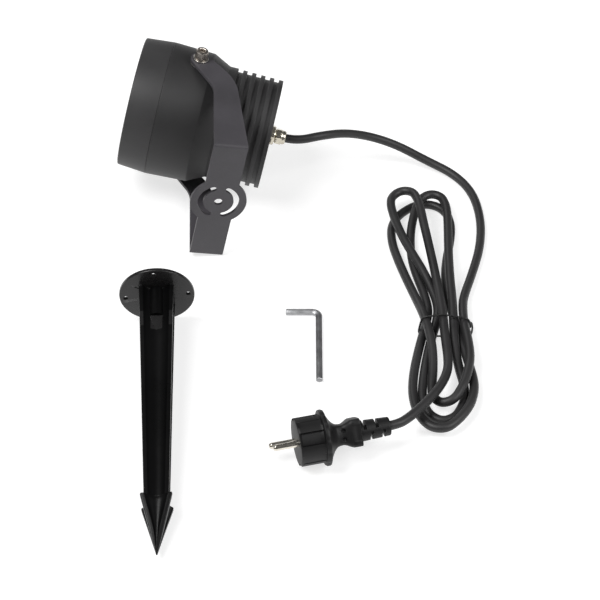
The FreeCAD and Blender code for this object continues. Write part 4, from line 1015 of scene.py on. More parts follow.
@dataclass
class CableGland:
    """Fixed hexagon, thread and domed clamping nut behind the heat sink."""

    rear: float = 69.8
    fixed_flat: float = 7.5
    fixed_height: float = 3.6
    thread_radius: float = 5.1
    nut_flat: float = 6.0
    nut_height: float = 5.4
    gap: float = 0.6
    dome: float = 3.2
    mouth: float = 4.6
    bore: float = 3.7

    def hexagon(self, start: float, height: float, flat: float, chamfer: float, name: str, slot: str,
                tail: list[tuple[float, float]], *nodes: str) -> bpy.types.Object:
        """A nut whose radius is the smaller of a hexagon and a cone that chamfers its corners.

        Args:
            start: where it begins along the head's axis.
            height: how long its hexagon is.
            flat: distance of a flat from the axis.
            chamfer: length of the chamfer at either end.
            name: name of the piece.
            slot: its material slot.
            tail: stations (x, radius) of the rest of the closed outline.
            nodes: the CAD nodes that it stands for.

        Returns:
            The piece.
        """
        u = circle(192)
        corner, rim = flat / math.cos(math.pi / 6), flat * 0.985
        hexagon = np.minimum(flat * regular(6, u), corner)
        outer = [(start, np.minimum(hexagon, rim)), (start + chamfer, hexagon), (start + height / 2, hexagon),
                 (start + height - chamfer, hexagon), (start + height, np.minimum(hexagon, rim))]
        shape = Shape().sheet(np.array([ring(x, radius, u) for x, radius in outer + tail]), close_rows=True)
        piece = dress(shape.mesh(name, HEAD, 25.0), "gland_nickel")
        return stand_in(piece, "lamp_head", slot, *nodes)

    def build(self) -> None:
        """Build the body and the nut."""
        nut = self.rear + self.fixed_height + self.gap
        thread = [(nut - 0.02, self.thread_radius)] + [
            (nut + 0.35 * k, self.thread_radius - (0.35 if k % 2 else 0.0)) for k in range(1, 8)]
        self.hexagon(self.rear, self.fixed_height, self.fixed_flat, 0.7, "gland_body", "gland_metal",
                     [(self.rear + self.fixed_height, 5.4), (nut - 0.1, 5.2), *thread,
                      (nut + 3.0, self.bore + 0.2), (self.rear - 8.5, self.bore + 0.1),
                      (self.rear - 8.5, 5.9), (self.rear - 0.01, 5.9)], "gland_body")
        end = nut + self.nut_height
        arc = [(end + self.dome * math.sin(t), self.mouth + 1.25 * math.cos(t))
               for t in np.linspace(0.05, math.pi / 2, 9)]
        self.hexagon(nut, self.nut_height, self.nut_flat, 0.6, "gland_nut", "gland_metal",
                     [*arc, (end + self.dome, self.bore + 0.45), (end + self.dome - 0.5, self.bore),
                      (nut + 3.4, self.bore), (nut + 3.2, self.thread_radius + 0.05),
                      (nut + 0.02, self.thread_radius + 0.05)], "gland_nut")


@dataclass
class Pivots:
    """Socket screws, spring washers, flat washers and friction washers on the two pivots."""

    arm_outer: float = 59.5
    arm_inner: float = 57.0
    boss_reach: float = 55.4
    washer: tuple[float, float] = (6.2, 1.4)
    spring: tuple[float, float] = (5.1, 1.5)
    cap: tuple[float, float] = (5.0, 6.0)
    socket_flat: float = 2.5
    socket_depth: float = 3.0
    shank: float = 3.0
    shank_length: float = 10.0
    knurls: int = 40
    washer_bore: float = 3.15
    friction_radius: float = 8.0
    spring_cut: float = 0.16
    spring_rise: float = 0.22

    def both(self, grids: list[Array], name: str, finish: str, node_name: str, sharp: float = 35.0) -> None:
        """Lay grids turned about X along +Z and mirrored along -Z, as one piece.

        Args:
            grids: the closed surfaces.
            name: name of the piece.
            finish: name of its finish.
            node_name: the CAD node that it stands for.
            sharp: edges steeper than this many degrees are shaded sharp.
        """
        shape = Shape()
        for way in (1, -1):
            for grid in grids:
                laid = facing(grid, "Z").copy()
                laid[..., 2] *= way
                shape.sheet(laid, close_rows=True)
        piece = dress(shape.mesh(name, HEAD, sharp), finish)
        stand_in(piece, "lamp_head", "bright_steel", node_name)

    def build(self) -> None:
        """Build the four sets."""
        out, thick = self.arm_outer, self.washer[1]
        bore, wide = self.washer_bore, self.friction_radius
        flat = rounded([(out, bore, 0.1), (out, self.washer[0], 0.35), (out + thick, self.washer[0], 0.35),
                        (out + thick, bore, 0.1)], 4)
        self.both([turned(flat, 72)], "washers", "washer_steel", "pivot_washers")
        friction = rounded([(self.boss_reach, bore, 0.1), (self.boss_reach, wide, 0.3),
                            (self.arm_inner, wide, 0.3), (self.arm_inner, bore, 0.1)], 4)
        self.both([turned(friction, 72)], "friction_washers", "washer_steel", "friction_washers")
        self.both([self.spring_ring(out + thick)], "spring_washers", "screw_steel", "pivot_spring_washers", 50.0)
        self.both([self.screw(out + thick + self.spring[1])], "socket_screws", "screw_steel", "pivot_screws", 28.0)

    def spring_ring(self, start: float) -> Array:
        """Split ring: a square section carried round a circle but for its cut, its ends closed to a point.

        Args:
            start: where it begins along the pivot.

        Returns:
            A closed grid of points.
        """
        radius, height = self.spring
        u = np.linspace(self.spring_cut, FULL - self.spring_cut, 90)
        rise = start + (u / FULL) * self.spring_rise
        top = height - self.spring_rise
        section = [(0.0, self.washer_bore), (0.0, radius), (top, radius), (top, self.washer_bore)]
        grid = np.array([ring(0.0, r, u) + np.stack([rise + x, 0 * u, 0 * u], -1) for x, r in section])
        middle = grid.mean(axis=0)
        return np.concatenate([np.repeat(middle[None, :1], 4, 0), grid, np.repeat(middle[None, -1:], 4, 0)], axis=1)

    def screw(self, start: float) -> Array:
        """Socket cap screw: knurled cylinder, rounded rim, hexagonal hole with a drilled bottom, plain shank.

        Args:
            start: where its head begins along the pivot.

        Returns:
            A closed grid of points.
        """
        u = circle(240)
        radius, height = self.cap
        knurl = 0.5 + 0.5 * np.cos(self.knurls * u)
        socket = self.socket_flat * regular(6, u, 0.0)
        end = start + height
        foot, bottom = start - self.shank_length, end - self.socket_depth
        rows = [(foot, 0.01), (foot, self.shank), (start, self.shank), (start, radius - 0.3),
                (start + 0.3, radius - 0.16 * knurl), (end - 1.1, radius - 0.16 * knurl), (end - 0.6, radius - 0.12),
                (end - 0.2, radius - 0.4), (end, radius - 0.85), (end, socket + 0.3), (end - 0.3, socket),
                (bottom, socket), (bottom - 0.8, 0.01)]
        return np.array([ring(x, r, u) for x, r in rows])


# ---------------------------------------------------------------- bracket

@dataclass
class Bracket:
    """U-shaped bracket: one folded strip whose two edges are functions of the length along the fold."""

    outer: float = 59.5
    reach: float = 104.2
    sheet: float = 2.5
    bend: float = 0.3
    offset: float = 17.2
    web_width: float = 27.1
    elbow: tuple[float, float] = (18.0, -28.0)
    elbow_width: float = 20.0
    end_radius: float = 8.2
    elbow_bend: float = 36.0
    disc: float = 22.6
    hole: float = 3.4
    pivot_hole: float = 3.06
    slot_radius: float = 14.4
    slot_width: float = 4.6
    slot_angle: float = 132.0
    edge: float = 0.35

    def edges(self) -> tuple[Array, Array]:
        """Edges of an arm: a rounded end, a straight run, an arc round the elbow and a straight run to the web.

        Returns:
            The left and the right edge, points (x, y) from the top down.
        """
        slope = np.array(self.elbow) / np.hypot(*self.elbow)
        side, down = np.array([-slope[1], slope[0]]), np.array([0.0, -1.0])
        turn = math.acos(float(slope @ down))
        inward = (down - slope) / np.linalg.norm(down - slope)
        centre = np.array(self.elbow) + inward * self.elbow_bend / math.cos(turn / 2)
        start = math.atan2(side[1], side[0])
        chains = []
        for sign in (-1, 1):
            radius = self.elbow_bend + sign * self.elbow_width / 2
            sweep = np.linspace(start, 0.0, 18)
            arc = centre + radius * np.stack([np.cos(sweep), np.sin(sweep)], -1)
            end = start if sign > 0 else start + math.pi
            round_end = np.linspace(math.pi / 2, end, 22)
            cap = self.end_radius * np.stack([np.cos(round_end), np.sin(round_end)], -1)
            foot = np.array([[self.offset + sign * self.web_width / 2, -self.reach]])
            chains.append(np.vstack([cap, arc, foot]))
        return chains[0], chains[1]

    def strip(self) -> Array:
        """Surface of the strip: stations along the fold, each going across the outer face and back across the inner.

        Returns:
            A grid of points.
        """
        left, right = self.edges()

        def arm_range(y: Array) -> Array:
            """Left and right edge at a height."""
            low = np.interp(-y, -left[:, 1], left[:, 0])
            high = np.interp(-y, -right[:, 1], right[:, 0])
            return np.stack([low, high], -1)

        corner = self.bend + self.sheet
        ends = self.end_radius * np.cos(np.linspace(0.12, math.pi / 2, 12))
        arm_y = np.concatenate([ends, np.linspace(-1.5, -44, 30), np.linspace(-50, -(self.reach - corner), 8)])
        fold = np.linspace(0, math.pi / 2, 9)[1:-1]
        notch = math.sqrt(self.disc ** 2 - (self.web_width / 2) ** 2)
        bulge = self.disc * np.sin(np.linspace(-1, 1, 41) * math.asin(notch / self.disc))
        web_z = np.concatenate([np.linspace(self.outer - corner, notch + 0.25, 7), bulge[::-1],
                                np.linspace(-notch - 0.25, -(self.outer - corner), 7)])
        stations = []
        for y in arm_y:
            stations.append(((y, self.outer), (y, self.outer - self.sheet), arm_range(np.array([y]))[0]))
        base_y, base_z = -(self.reach - corner), self.outer - corner
        web_range = np.array([self.offset - self.web_width / 2, self.offset + self.web_width / 2])
        for a in fold:
            outer_point = (base_y - corner * math.sin(a), base_z + corner * math.cos(a))
            inner_point = (base_y - self.bend * math.sin(a), base_z + self.bend * math.cos(a))
            stations.append((outer_point, inner_point, web_range))
        for z in web_z:
            half = math.sqrt(max(self.disc ** 2 - z * z, 0)) if abs(z) < notch + 1e-6 else 0.0
            half = max(half, self.web_width / 2)
            stations.append(((-self.reach, z), (-self.reach + self.sheet, z),
                             np.array([self.offset - half, self.offset + half])))
        count = len(arm_y) + len(fold)
        mirrored = [((o[0], -o[1]), (i[0], -i[1]), w) for o, i, w in stations[:count][::-1]]
        rows = []
        across = np.linspace(0, 1, 9)
        for o, i, w in stations + mirrored:
            x = w[0] + (w[1] - w[0]) * across
            outer_row = np.stack([x, np.full_like(x, o[0]), np.full_like(x, o[1])], -1)
            inner_row = np.stack([x[::-1], np.full_like(x, i[0]), np.full_like(x, i[1])], -1)
            rows.append(np.vstack([outer_row, inner_row]))
        return np.array(rows)

    def drill(self, radius: float, x: float, y: float, z: float, axis: str, length: float) -> bpy.types.Object:
        """Closed cylinder to cut with.

        Args:
            radius: its radius.
            x: middle.
            y: middle.
            z: middle.
            axis: Y or Z, the way that it runs.
            length: its length.

        Returns:
            The cutter.
        """
        outline = np.array([[-length / 2, 0.0], [-length / 2, radius], [length / 2, radius], [length / 2, 0.0]])
        grid = shift(facing(turned(outline, 72), axis), x, y, z)
        return Shape().sheet(grid).mesh("cutter", BRACKET)

    def slot(self, middle: float) -> bpy.types.Object:
        """Closed curved slot to cut with: a stadium bent round the middle of the web.

        Args:
            middle: direction of its middle from the middle of the web, in degrees.

        Returns:
            The cutter.
        """
        half, mean = self.slot_width / 2, self.slot_radius
        low, high = (math.radians(middle + s * self.slot_angle / 2) for s in (-1, 1))
        sweep, cap = np.linspace(low, high, 40), np.linspace(0, math.pi, 12)[1:-1]

        def at(radius: Array, angle: Array) -> Array:
            """Points at a radius and an angle."""
            return np.stack([radius * np.cos(angle), radius * np.sin(angle)], -1)

        end = at(np.array(mean), np.array(high)) + half * at(np.array(1.0), high + cap)
        start = at(np.array(mean), np.array(low)) + half * at(np.array(1.0), low + math.pi + cap)
        outline = np.vstack([at(mean + half, sweep), end, at(mean - half, sweep[::-1]), start])
        x, z = outline[:, 0] + self.offset, outline[:, 1]
        rows = [np.stack([x, np.full_like(x, y), z], -1) for y in (-self.reach - 2, -self.reach + self.sheet + 2)]
        return Shape().sheet(np.array(rows), cap_start=True, cap_end=True).mesh("cutter", BRACKET)

    def build(self) -> bpy.types.Object:
        """Fold the strip, cut its openings and round its edges.

        Returns:
            The piece.
        """
        piece = Shape().sheet(self.strip(), cap_start=True, cap_end=True).mesh("folded_bracket", BRACKET)
        cutters = [self.drill(self.pivot_hole, 0, 0, 0, "Z", 140.0),
                   self.drill(self.hole, self.offset, -self.reach, 0, "Y", 20.0),
                   self.slot(0.0), self.slot(180.0)]
        carve(piece, cutters)
        soften_edges(piece, self.edge, 40.0)
        dress(piece, "bracket_powder_coat")
        return stand_in(piece, "bracket", "bracket_coat", "bracket")


# ---------------------------------------------------------------- ground stake

@dataclass
class GroundStake:
    """Moulded stake: flange with four holes, hollow-sided spike, screw post, barbs and point."""

    flange_radius: float = 29.4
    flange: float = 3.0
    circle: float = 49.0
    hole: float = 2.0
    twist: float = 3.8
    root: tuple[float, float] = (27.0, 5.4)
    end: tuple[float, float] = (18.2, 3.2)
    barb: tuple[float, float] = (23.2, 4.4)
    tip: float = 0.8
    spike_length: float = 196.0
    tip_length: float = 45.0
    rib: float = 3.0
    post_radius: float = 6.4
    post_face: float = 11.6
    post_length: float = 27.8
    post_point: float = 13.6
    facet: float = 2.7
    facet_fall: float = 1.3
    post_lift: float = 2.0
    bore: float = 3.1
    bore_depth: float = 26.0

    def section(self, width: float, hollow: float, z: float) -> Array:
        """Across the spike: a square whose sides sink in a hollow between flat, rounded ribs at its corners.

        The hollow is one less the distance from the middle of the side to the power 2.2.

        Args:
            width: width of the square.
            hollow: depth of the hollow.
            z: place along the spike.

        Returns:
            Points round the section.
        """
        half = width / 2
        flat = min(self.rib, 0.3 * width)
        soft = min(0.9, 0.3 * flat)
        side = []
        inner = half - flat
        across = np.linspace(-1, 1, 27)
        dip = half - hollow * (1 - np.abs(across) ** 2.2)
        side.append(np.stack([across * inner, dip], -1))
        arc = np.linspace(math.pi / 2, 0, 7)
        corner = np.stack([half - soft + soft * np.cos(arc), half - soft + soft * np.sin(arc)], -1)
        side.append(corner)
        quarter = np.vstack(side)
        rows = []
        for k in range(4):
            a = -k * math.pi / 2
            turn = np.array([[math.cos(a), -math.sin(a)], [math.sin(a), math.cos(a)]])
            rows.append(quarter @ turn.T)
        flat_ring = np.vstack(rows)
        return np.column_stack([flat_ring, np.full(len(flat_ring), z)])

    def spike(self) -> Array:
        """Surface of the spike, from inside the flange to the tip.

        The width and hollow fall evenly to the barbs, where the section steps out, and then to the tip. A
        small sweep widens the root.

        Returns:
            A grid of points, one row for each section.
        """
        start, stop = self.flange, self.flange + self.spike_length
        stations = [(start - 1.0, 0.5), (start, 0.5), (start + 0.4, 0.15), (start + 1.0, 0.0), (start + 3, 0.0)]
        stations += [(z, 0.0) for z in np.linspace(start + 12, stop - 0.5, 14)]
        rows = []
        for z, swell in stations:
            t = (z - start) / self.spike_length
            width = self.root[0] + (self.end[0] - self.root[0]) * t + swell
            hollow = self.root[1] + (self.end[1] - self.root[1]) * t
            rows.append(self.section(width, hollow, z))
        rows.append(self.section(self.barb[0] - 0.5, self.barb[1], stop - 0.9))
        rows.append(self.section(self.barb[0], self.barb[1], stop - 0.3))
        for t in np.linspace(0.05, 1, 10):
            width = self.barb[0] + (self.tip - self.barb[0]) * t
            rows.append(self.section(width, self.barb[1] * (1 - t) + 0.05 * t, stop + self.tip_length * t))
        return np.array(rows)

    def build(self) -> bpy.types.Object:
        """Join flange, spike and post, drill the holes, and dress the flange and the post's upward facet in a
        lighter, glossier copy of the plastic as painted sheen and the spike in a darker, duller copy as painted
        shade.

        Returns:
            The piece.
        """
        disc = rounded([(0, 0, 0), (0, self.flange_radius, 0.5), (self.flange, self.flange_radius, 0.9),
                        (self.flange, 0, 0)], 5, closed=False)
        piece = Shape().sheet(facing(turned(disc), "Z")).mesh("stake", STAKE)
        spike = Shape().sheet(self.spike(), cap_start=True, cap_end=True).mesh("spike", STAKE)
        combine(piece, spike, "UNION")
        combine(piece, self.post(), "UNION")
        carve(piece, [*[self.drill(self.hole, *self.screw_place(k), self.flange + 2) for k in range(4)],
                      self.drill(self.bore, 0, 0, self.bore_depth)])
        piece.data.shade_smooth()
        piece.data.set_sharp_from_angle(angle=math.radians(32))
        # One plastic in two copies: the lighter one on the flange and the facet is painted sheen, the darker, duller
        # one on the spike is painted shade.
        dress(piece, "stake_plastic")
        piece.data.materials.append(MATERIALS["spike_plastic_painted_shade"])
        piece.data.polygons.foreach_set("material_index", self.painted_shade_faces(piece.data))
        return stand_in(piece, "ground_stake", "stake_plastic", "ground_stake")

    def screw_place(self, number: int) -> tuple[float, float]:
        """Middle of one of the flange's four screw holes."""
        angle = math.radians(number * 90 + self.twist)
        return self.circle / 2 * math.cos(angle), self.circle / 2 * math.sin(angle)

    def post(self) -> bpy.types.Object:
        """Screw post on the spike's upper side: a cylinder, then a cone whose top is cut to a flat facet.

        Returns:
            A closed shape to join to the spike.
        """
        middle, top = self.post_face - self.post_radius, self.flange + self.post_length
        u = circle(64)
        rows = [(1.0, self.post_radius, middle, math.inf), (top - 0.4, self.post_radius, middle, math.inf)]
        for t in np.linspace(0, 1, 9):
            rows.append((top + self.post_point * t, self.post_radius * (1 - t) + self.tip * t,
                         middle + self.post_lift * t, self.post_face - self.facet - self.facet_fall * t))
        grid = np.array([np.stack([r * np.cos(u), np.minimum(y + r * np.sin(u), cut), np.full_like(u, z)], -1)
                         for z, r, y, cut in rows])
        return Shape().sheet(grid, cap_start=True, cap_end=True).mesh("post", STAKE)

    def painted_shade_faces(self, data: bpy.types.Mesh) -> Array:
        """Which faces take the darker copy of the plastic, painted shade on the spike, rather than the lighter copy,
        painted sheen on the flange and on the post's upward facet.

        Args:
            data: the joined mesh.

        Returns:
            One for a face of the spike and nought for the others.
        """
        centre, normal = np.zeros(len(data.polygons) * 3), np.zeros(len(data.polygons) * 3)
        data.polygons.foreach_get("center", centre)
        data.polygons.foreach_get("normal", normal)
        _, y, z = ((centre.reshape(-1, 3) - STAKE.origin) @ STAKE.turn / MM).T
        up = normal.reshape(-1, 3) @ STAKE.turn[:, 1]
        start = self.flange + self.post_length
        # Painted sheen: faces of the post's facet that face up keep the lighter copy, as they catch the light from
        # above.
        facet = (z > start) & (z < start + self.post_point) & (up > 0.9) & (y > self.post_face - self.facet - 2)
        return ((z > self.flange + 0.02) & ~facet).astype(np.int32)

    def drill(self, radius: float, x: float, y: float, high: float) -> bpy.types.Object:
        """Closed cylinder to cut with, which starts in front of the flange.

        Args:
            radius: its radius.
            x: middle.
            y: middle.
            high: where it ends along the stake.

        Returns:
            The cutter.
        """
        outline = np.array([[-2.0, 0.0], [-2.0, radius], [high, radius], [high, 0.0]])
        return Shape().sheet(shift(facing(turned(outline, 40), "Z"), x, y)).mesh("cutter", STAKE)


@dataclass
class HexKey:
    """Hexagonal rod with a bend and chamfered ends."""

    flats: float = 5.0
    short: float = 28.6
    long: float = 77.5
    bend: float = 5.5
    chamfer: float = 0.6
    end_scale: float = 0.84
    edge: float = 0.12

    def path(self) -> Array:
        """Middle line from the short arm's end round the bend to the long arm's end.

        Returns:
            Points along the line.
        """
        half = self.flats / 2
        left, last = -(self.short - half), -(self.long - half)
        arc = np.linspace(math.pi / 2, 0, 13)
        curve = np.stack([-self.bend + self.bend * np.cos(arc), -self.bend + self.bend * np.sin(arc)], -1)
        straight = np.array([[left, 0.0], [left + self.chamfer, 0.0], [-20.0, 0.0], [-10.0, 0.0]])
        down = np.array([[0.0, -12.0], [0.0, -30.0], [0.0, last + self.chamfer], [0.0, last]])
        flat_path = np.vstack([straight, curve, down])
        return np.column_stack([flat_path, np.zeros(len(flat_path))])

    def build(self) -> bpy.types.Object:
        """Carry the hexagon along the middle line: its point is cos u up and sin u across, to the flats' distance.

        Returns:
            The piece.
        """
        path = self.path()
        half, u = self.flats / 2, circle(6)
        tangent = np.gradient(path, axis=0)
        tangent /= np.linalg.norm(tangent, axis=1)[:, None]
        side = np.cross(tangent, [0.0, 0.0, 1.0])
        scale = np.ones((len(path), 1, 1))
        scale[[0, -1]] = self.end_scale
        across = side[:, None, :] * (half / math.cos(math.pi / 6) * np.sin(u))[None, :, None]
        grid = path[:, None, :] + scale * (across + np.outer(np.cos(u) * half, [0.0, 0.0, 1.0]))
        piece = Shape().sheet(grid, cap_start=True, cap_end=True).mesh("hex_rod", KEY, 20.0)
        soften_edges(piece, self.edge, 25.0)
        dress(piece, "key_oxide")
        return stand_in(piece, "hex_key", "key_steel", "hex_key")


# ---------------------------------------------------------------- plug

@dataclass
class EarthedPlug:
    """Rubber plug: ribbed front body, collar, waist, squared rear block, pins and slotted sleeve."""

    radius: float = 18.3
    front: float = 18.8
    collar_radius: float = 21.0
    flare: tuple[float, float] = (22.6, 32.0)
    waist: float = 8.4
    block: float = 11.4
    length: float = 47.4
    columns: int = 360
    sunk_bands: tuple[tuple[float, float, float], ...] = ((67, 96, 1.3), (125, 150, 0.5), (33, 50, 0.5))
    band_lines: tuple[float, ...] = (66.0, 97.0, 124.5, 50.5)
    line_depth: float = 0.7
    scallop: float = 0.35
    dimples: tuple[float, float] = (68.0, 112.0)
    dimple_x: float = 34.4
    dimple_depth: float = 1.5
    panel_depth: float = 0.55
    recess_width: float = 9.0
    recess_depth: float = 2.4
    sleeve_root: float = 8.0
    sleeve_end: float = 6.9
    sleeve_length: float = 23.0
    slots: int = 4
    slot_pitch: float = 4.6
    slot_half: float = 1.1
    cable: float = 3.6
    pin_radius: float = 2.4
    pin_length: float = 19.0
    pin_spacing: float = 19.0

    def profile(self) -> tuple[Array, Array, Array]:
        """Stations along the plug.

        Behind the collar the radius falls with the distance left to the waist, to the power 2.1.

        Returns:
            Distance, radius and how square the section is, at each station.
        """
        front, collar, wide, end = self.front, self.collar_radius, self.radius, self.length
        rows = [(0.0, 0.02, 0), (0.0, 9.0, 0), (0.0, wide - 0.7, 0), (0.15, wide - 0.35, 0), (0.6, wide, 0),
                (2.0, wide, 0)]
        rows += [(x, wide, 0) for x in np.linspace(4, front - 0.5, 8)]
        rows += [(front - 0.2, wide + 0.2, 0), (front, wide + 0.9, 0), (front + 0.05, collar - 0.6, 0),
                 (front + 0.5, collar - 0.1, 0), (front + 1.1, collar, 0), (front + 2.8, collar, 0),
                 (front + 3.4, collar - 0.3, 0), (front + 3.7, collar - 1.1, 0.02)]
        start, stop = self.flare
        rows += [(start + (stop - start) * t, self.waist + 0.1 + 10.6 * (1 - t) ** 2.1, 0.1 + 0.5 * t)
                 for t in np.linspace(0, 1, 16)[1:]]
        rows += [(33.2, self.waist - 0.05, 0.65), (34.4, self.waist, 0.7), (35.6, 8.75, 0.75), (36.8, 9.3, 0.8),
                 (38.0, 10.0, 0.85), (39.2, 10.7, 0.9), (40.2, 11.15, 0.92), (41.0, 11.35, 0.95),
                 (43.0, self.block, 1), (45.4, self.block, 1), (46.8, self.block, 1), (47.2, self.block - 0.1, 1),
                 (end, self.block - 0.4, 1), (end, 7.5, 0.6), (end, 0.02, 0)]
        table = np.array(rows)
        fine = np.arange(32.8, 36.7, 0.25)
        between = np.column_stack([fine] + [np.interp(fine, table[:, 0], table[:, k]) for k in (1, 2)])
        table = np.vstack([table[table[:, 0] < fine[0]], between, table[table[:, 0] > fine[-1]]])
        return table[:, 0], table[:, 1], table[:, 2]

    def body_grid(self) -> Array:
        """Surface of the body: the profile's radius, squared towards the back and stepped round the front.

        The squared radius is that of a superellipse of the seventh power. Bands round the front body lie a
        little lower than the ones beside them, the front body is flat in the two earth recesses, the collar
        has twelve shallow scallops, two dimples sink into the waist and a panel into the rear block.

        Returns:
            A grid of points.
        """
        x, r, square = self.profile()
        u = circle(self.columns)
        x, r, square = (np.repeat(column[:, None], self.columns, 1) for column in (x, r, square))
        cos, sin, degrees = np.cos(u), np.sin(u), np.degrees(u)[None, :]
        boxed = 1 / (np.abs(cos) ** 7 + np.abs(sin) ** 7) ** (1 / 7)
        radius = np.where(square > 0, r * (1 + square * (boxed * 0.93 - 1)), r)

        def ramp(value: Array, run: float) -> Array:
            """Nought below nought, one above the run, and straight between."""
            return np.clip(value / run, 0, 1)

        def band(low: float, high: float, edge: float = 1.1) -> Array:
            """One between two angles, with soft edges, on both sides of the plug."""
            rise = ramp(degrees % 180 - low, edge) * ramp(high - degrees % 180, edge)
            return rise * rise * (3 - 2 * rise)

        on_front = ramp(x - 0.8, 0.5) * ramp(self.front - 0.35 - x, 0.3) * (r > self.radius - 1.3)
        steps = sum(depth * band(low, high) for low, high, depth in self.sunk_bands)
        steps = steps + sum(self.line_depth * band(edge - 1.2, edge + 1.2) for edge in self.band_lines)
        radius = radius - steps * on_front
        flat = (self.radius - self.recess_depth) / np.maximum(np.abs(cos), 1e-3)
        in_recess = (np.abs(r * sin) < self.recess_width / 2) & (x < self.front - 0.3) & (r > 15)
        radius = np.where(in_recess, np.minimum(radius, flat), radius)
        on_collar = (x > self.front + 0.02) & (x < self.front + 3.6)
        radius = radius - self.scallop * (0.5 + 0.5 * np.cos(12 * u)) ** 4 * on_collar
        for place in self.dimples:
            away = np.hypot(x - self.dimple_x, np.radians(degrees - place) * self.waist)
            radius = radius - self.dimple_depth * ramp(1.7 - away, 0.5)
        panel = ramp(13 - np.abs(degrees - 90) * 0.42, 1.5)
        radius = radius - self.panel_depth * panel * ramp(x - 42.2, 0.5) * ramp(46.4 - x, 0.4) * (square > 0.9)
        return np.stack([x, radius * cos, radius * sin], -1)

    def build(self) -> list[bpy.types.Object]:
        """Build body, pins and sleeve, and dress the earth clips.

        Returns:
            The four pieces.
        """
        body = dress(Shape().sheet(self.body_grid()).mesh("plug_shell", PLUG, 38.0), "plug_rubber")
        stand_in(body, "lamp_head", "plug_rubber", "plug_body")
        pin = rounded([(6.0, 0, 0), (6.0, self.pin_radius, 0.1), (-self.pin_length + 1.6, self.pin_radius, 0.8),
                       (-self.pin_length, 1.5, 0.6), (-self.pin_length, 0, 0)], 6, closed=False)
        pins = Shape()
        for z in (self.pin_spacing / 2, -self.pin_spacing / 2):
            pins.sheet(shift(turned(pin, 48), z=z))
        made = dress(pins.mesh("contact_pins", PLUG, 40.0), "contact_nickel")
        stand_in(made, "lamp_head", "contact_metal", "plug_pins")
        sleeve = dress(self.sleeve(), "plug_rubber")
        stand_in(sleeve, "lamp_head", "plug_rubber", "plug_sleeve")
        clips = dress(frame["nodes"]["plug_earth_clips"], "contact_nickel")
        return [body, made, sleeve, clips]

    def sleeve(self) -> bpy.types.Object:
        """Tapered sleeve: its radius falls evenly to the cable and drops to a core inside each slot.

        The slots lie by turns on one side and the other.

        Returns:
            The piece.
        """
        end, half = self.length + self.sleeve_length, self.slot_half
        centres = self.length + 3.5 + self.slot_pitch * np.arange(self.slots)
        edges = (centres[:, None] + np.array([-half - 0.05, -half + 0.05, half - 0.05, half + 0.05])).ravel()
        between = np.linspace(self.length + 1, end - 1.2, 12)
        x = np.sort(np.concatenate([[self.length - 0.5, self.length + 0.4], edges, between]))
        u = circle(120)
        taper = self.sleeve_root + (self.sleeve_end - self.sleeve_root) * (x - self.length) / self.sleeve_length
        radius = np.repeat(taper[:, None], len(u), 1)
        for number, centre in enumerate(centres):
            way = 1 if number % 2 == 0 else -1
            inside = (np.abs(x - centre) < half)[:, None] & (way * np.cos(u) * self.sleeve_end > 1.2)[None, :]
            radius = np.where(inside, self.cable + 0.35, radius)
        tail = [(end - 0.5, self.sleeve_end), (end - 0.1, self.sleeve_end - 0.35), (end, self.sleeve_end - 0.9),
                (end, self.cable + 0.12), (end - 4, self.cable + 0.1), (end - 9.9, 0.02)]
        grid = [ring(a, row, u) for a, row in zip(x, radius)] + [ring(a, r, u) for a, r in tail]
        return Shape().sheet(np.array(grid), cap_start=True).mesh("bend_sleeve", PLUG, 38.0)


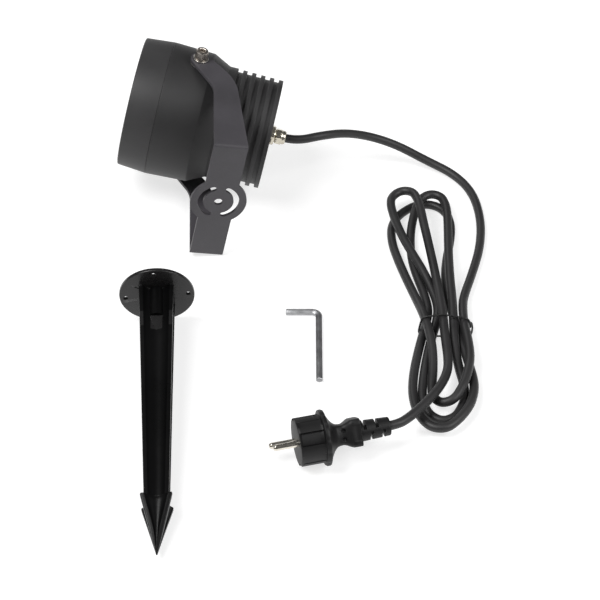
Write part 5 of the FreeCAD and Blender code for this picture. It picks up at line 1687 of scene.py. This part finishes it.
@dataclass
class WireTie:
    """Plastic-covered wire pulled tight round the bundle of loops, with a twisted tail."""

    wire: float = 0.75
    reach: float = 4.45
    low: float = 0.8
    y: float = -11.0
    lean: float = 2.6
    bundle_left: float = 150.0

    def loop(self, line: Array) -> Array:
        """Path round every strand that crosses the tie's plane.

        In each direction the wire lies against the strand that reaches furthest that way. It leans a
        little along the bundle between its foot and its top.

        Args:
            line: points along the cable, in metres.

        Returns:
            Points of the closed path.
        """
        line = line / MM
        past = line[:, 1] > self.y
        crossing = (past[1:] != past[:-1]) & (line[:-1, 0] > self.bundle_left)
        strands = line[:-1][crossing][:, (0, 2)]
        outward = ring_section(1.0, 72)
        path = strands[np.argmax(outward @ strands.T, axis=1)] + self.reach * outward
        closed = np.vstack([path, path[:1]])
        run = np.concatenate([[0], np.cumsum(np.linalg.norm(np.diff(closed, axis=0), axis=1))])
        even = np.linspace(0, run[-1], 120, endpoint=False)
        path = smoothed(np.stack([np.interp(even, run, closed[:, k]) for k in range(2)], -1), 6, True)
        across, height = path[:, 0], np.maximum(path[:, 1], self.low)
        rise = 2 * (height - self.low) / (height.max() - self.low) - 1
        return np.stack([across, self.y + self.lean * rise, height], -1)

    def tail(self, right: float) -> Array:
        """Path of the free tail.

        Args:
            right: where the right side of the loop is.

        Returns:
            Points along the path.
        """
        points = np.array([[0.6, -12.0, 9.0], [1.5, -8.4, 8.4], [1.4, -4.6, 7.2], [2.4, -4.4, 5.8],
                           [2.8, -8.4, 4.8], [2.0, -12.4, 3.8], [0.6, -16.4, 2.6]]) + [right, 0, 0]
        steps = np.linspace(0, len(points) - 1, 49)
        fine = np.stack([np.interp(steps, np.arange(len(points)), points[:, k]) for k in range(3)], -1)
        return smoothed(fine, 8, False)

    def build(self, line: Array) -> bpy.types.Object:
        """Carry a circle along the loop and along the free tail.

        Args:
            line: points along the cable, in metres.

        Returns:
            The piece.
        """
        loop, section = self.loop(line), ring_section(self.wire, 12)
        closed = np.vstack([loop[-1:], loop, loop[:1]])
        shape = Shape().sheet(carried(closed, section)[1:-1], close_rows=True)
        shape.sheet(carried(self.tail(loop[:, 0].max()), section), cap_start=True, cap_end=True)
        piece = dress(shape.mesh("wire_tie", TABLE, 60.0), "tie_wire")
        return stand_in(piece, "lamp_head", "tie_plastic", "cable_tie")


# ---------------------------------------------------------------- CAD nodes that keep their shape

KEPT = {
    "front_gasket_ring": "seal_rubber", "front_window": "window_glass", "rear_gasket_ring": "seal_rubber",
    "housing_seal": "seal_rubber", "light_source": "board_lacquer", "collector_cone": "reflector_bright",
    "condenser_lens": "lens_glass", "pattern_wheel": "wheel_film", "wheel_shaft": "washer_steel",
    "wheel_motor": "washer_steel", "carrier_plate": "inner_black", "carrier_posts": "washer_steel",
    "carrier_screws": "screw_steel", "lens_barrel": "inner_black", "projection_lens": "lens_glass",
    "lens_ring": "inner_black", "driver_board": "board_lacquer", "board_posts": "washer_steel",
    "driver_capacitor": "component_case", "driver_transformer": "component_case",
    "gland_seal": "seal_rubber", "plug_earth_clips": "contact_nickel",
}


def dress_kept_nodes() -> None:
    """Give every CAD node that stays in view its finish."""
    for name, finish in KEPT.items():
        dress(frame["nodes"][name], finish)


def main() -> None:
    """Build the pieces in order."""
    logging.basicConfig(level=logging.INFO, format="%(message)s")
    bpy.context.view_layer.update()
    Studio().build()
    build_finishes()
    lead = Lead()
    cable = lead.build()
    dress_kept_nodes()
    LampHead().build()
    CableGland().build()
    Pivots().build()
    Bracket().build()
    GroundStake().build()
    HexKey().build()
    plug = EarthedPlug().build()
    line = lead.line(cable)
    tie = WireTie().build(line)
    lead.route()[0]


if __name__ == "__main__":
    main()
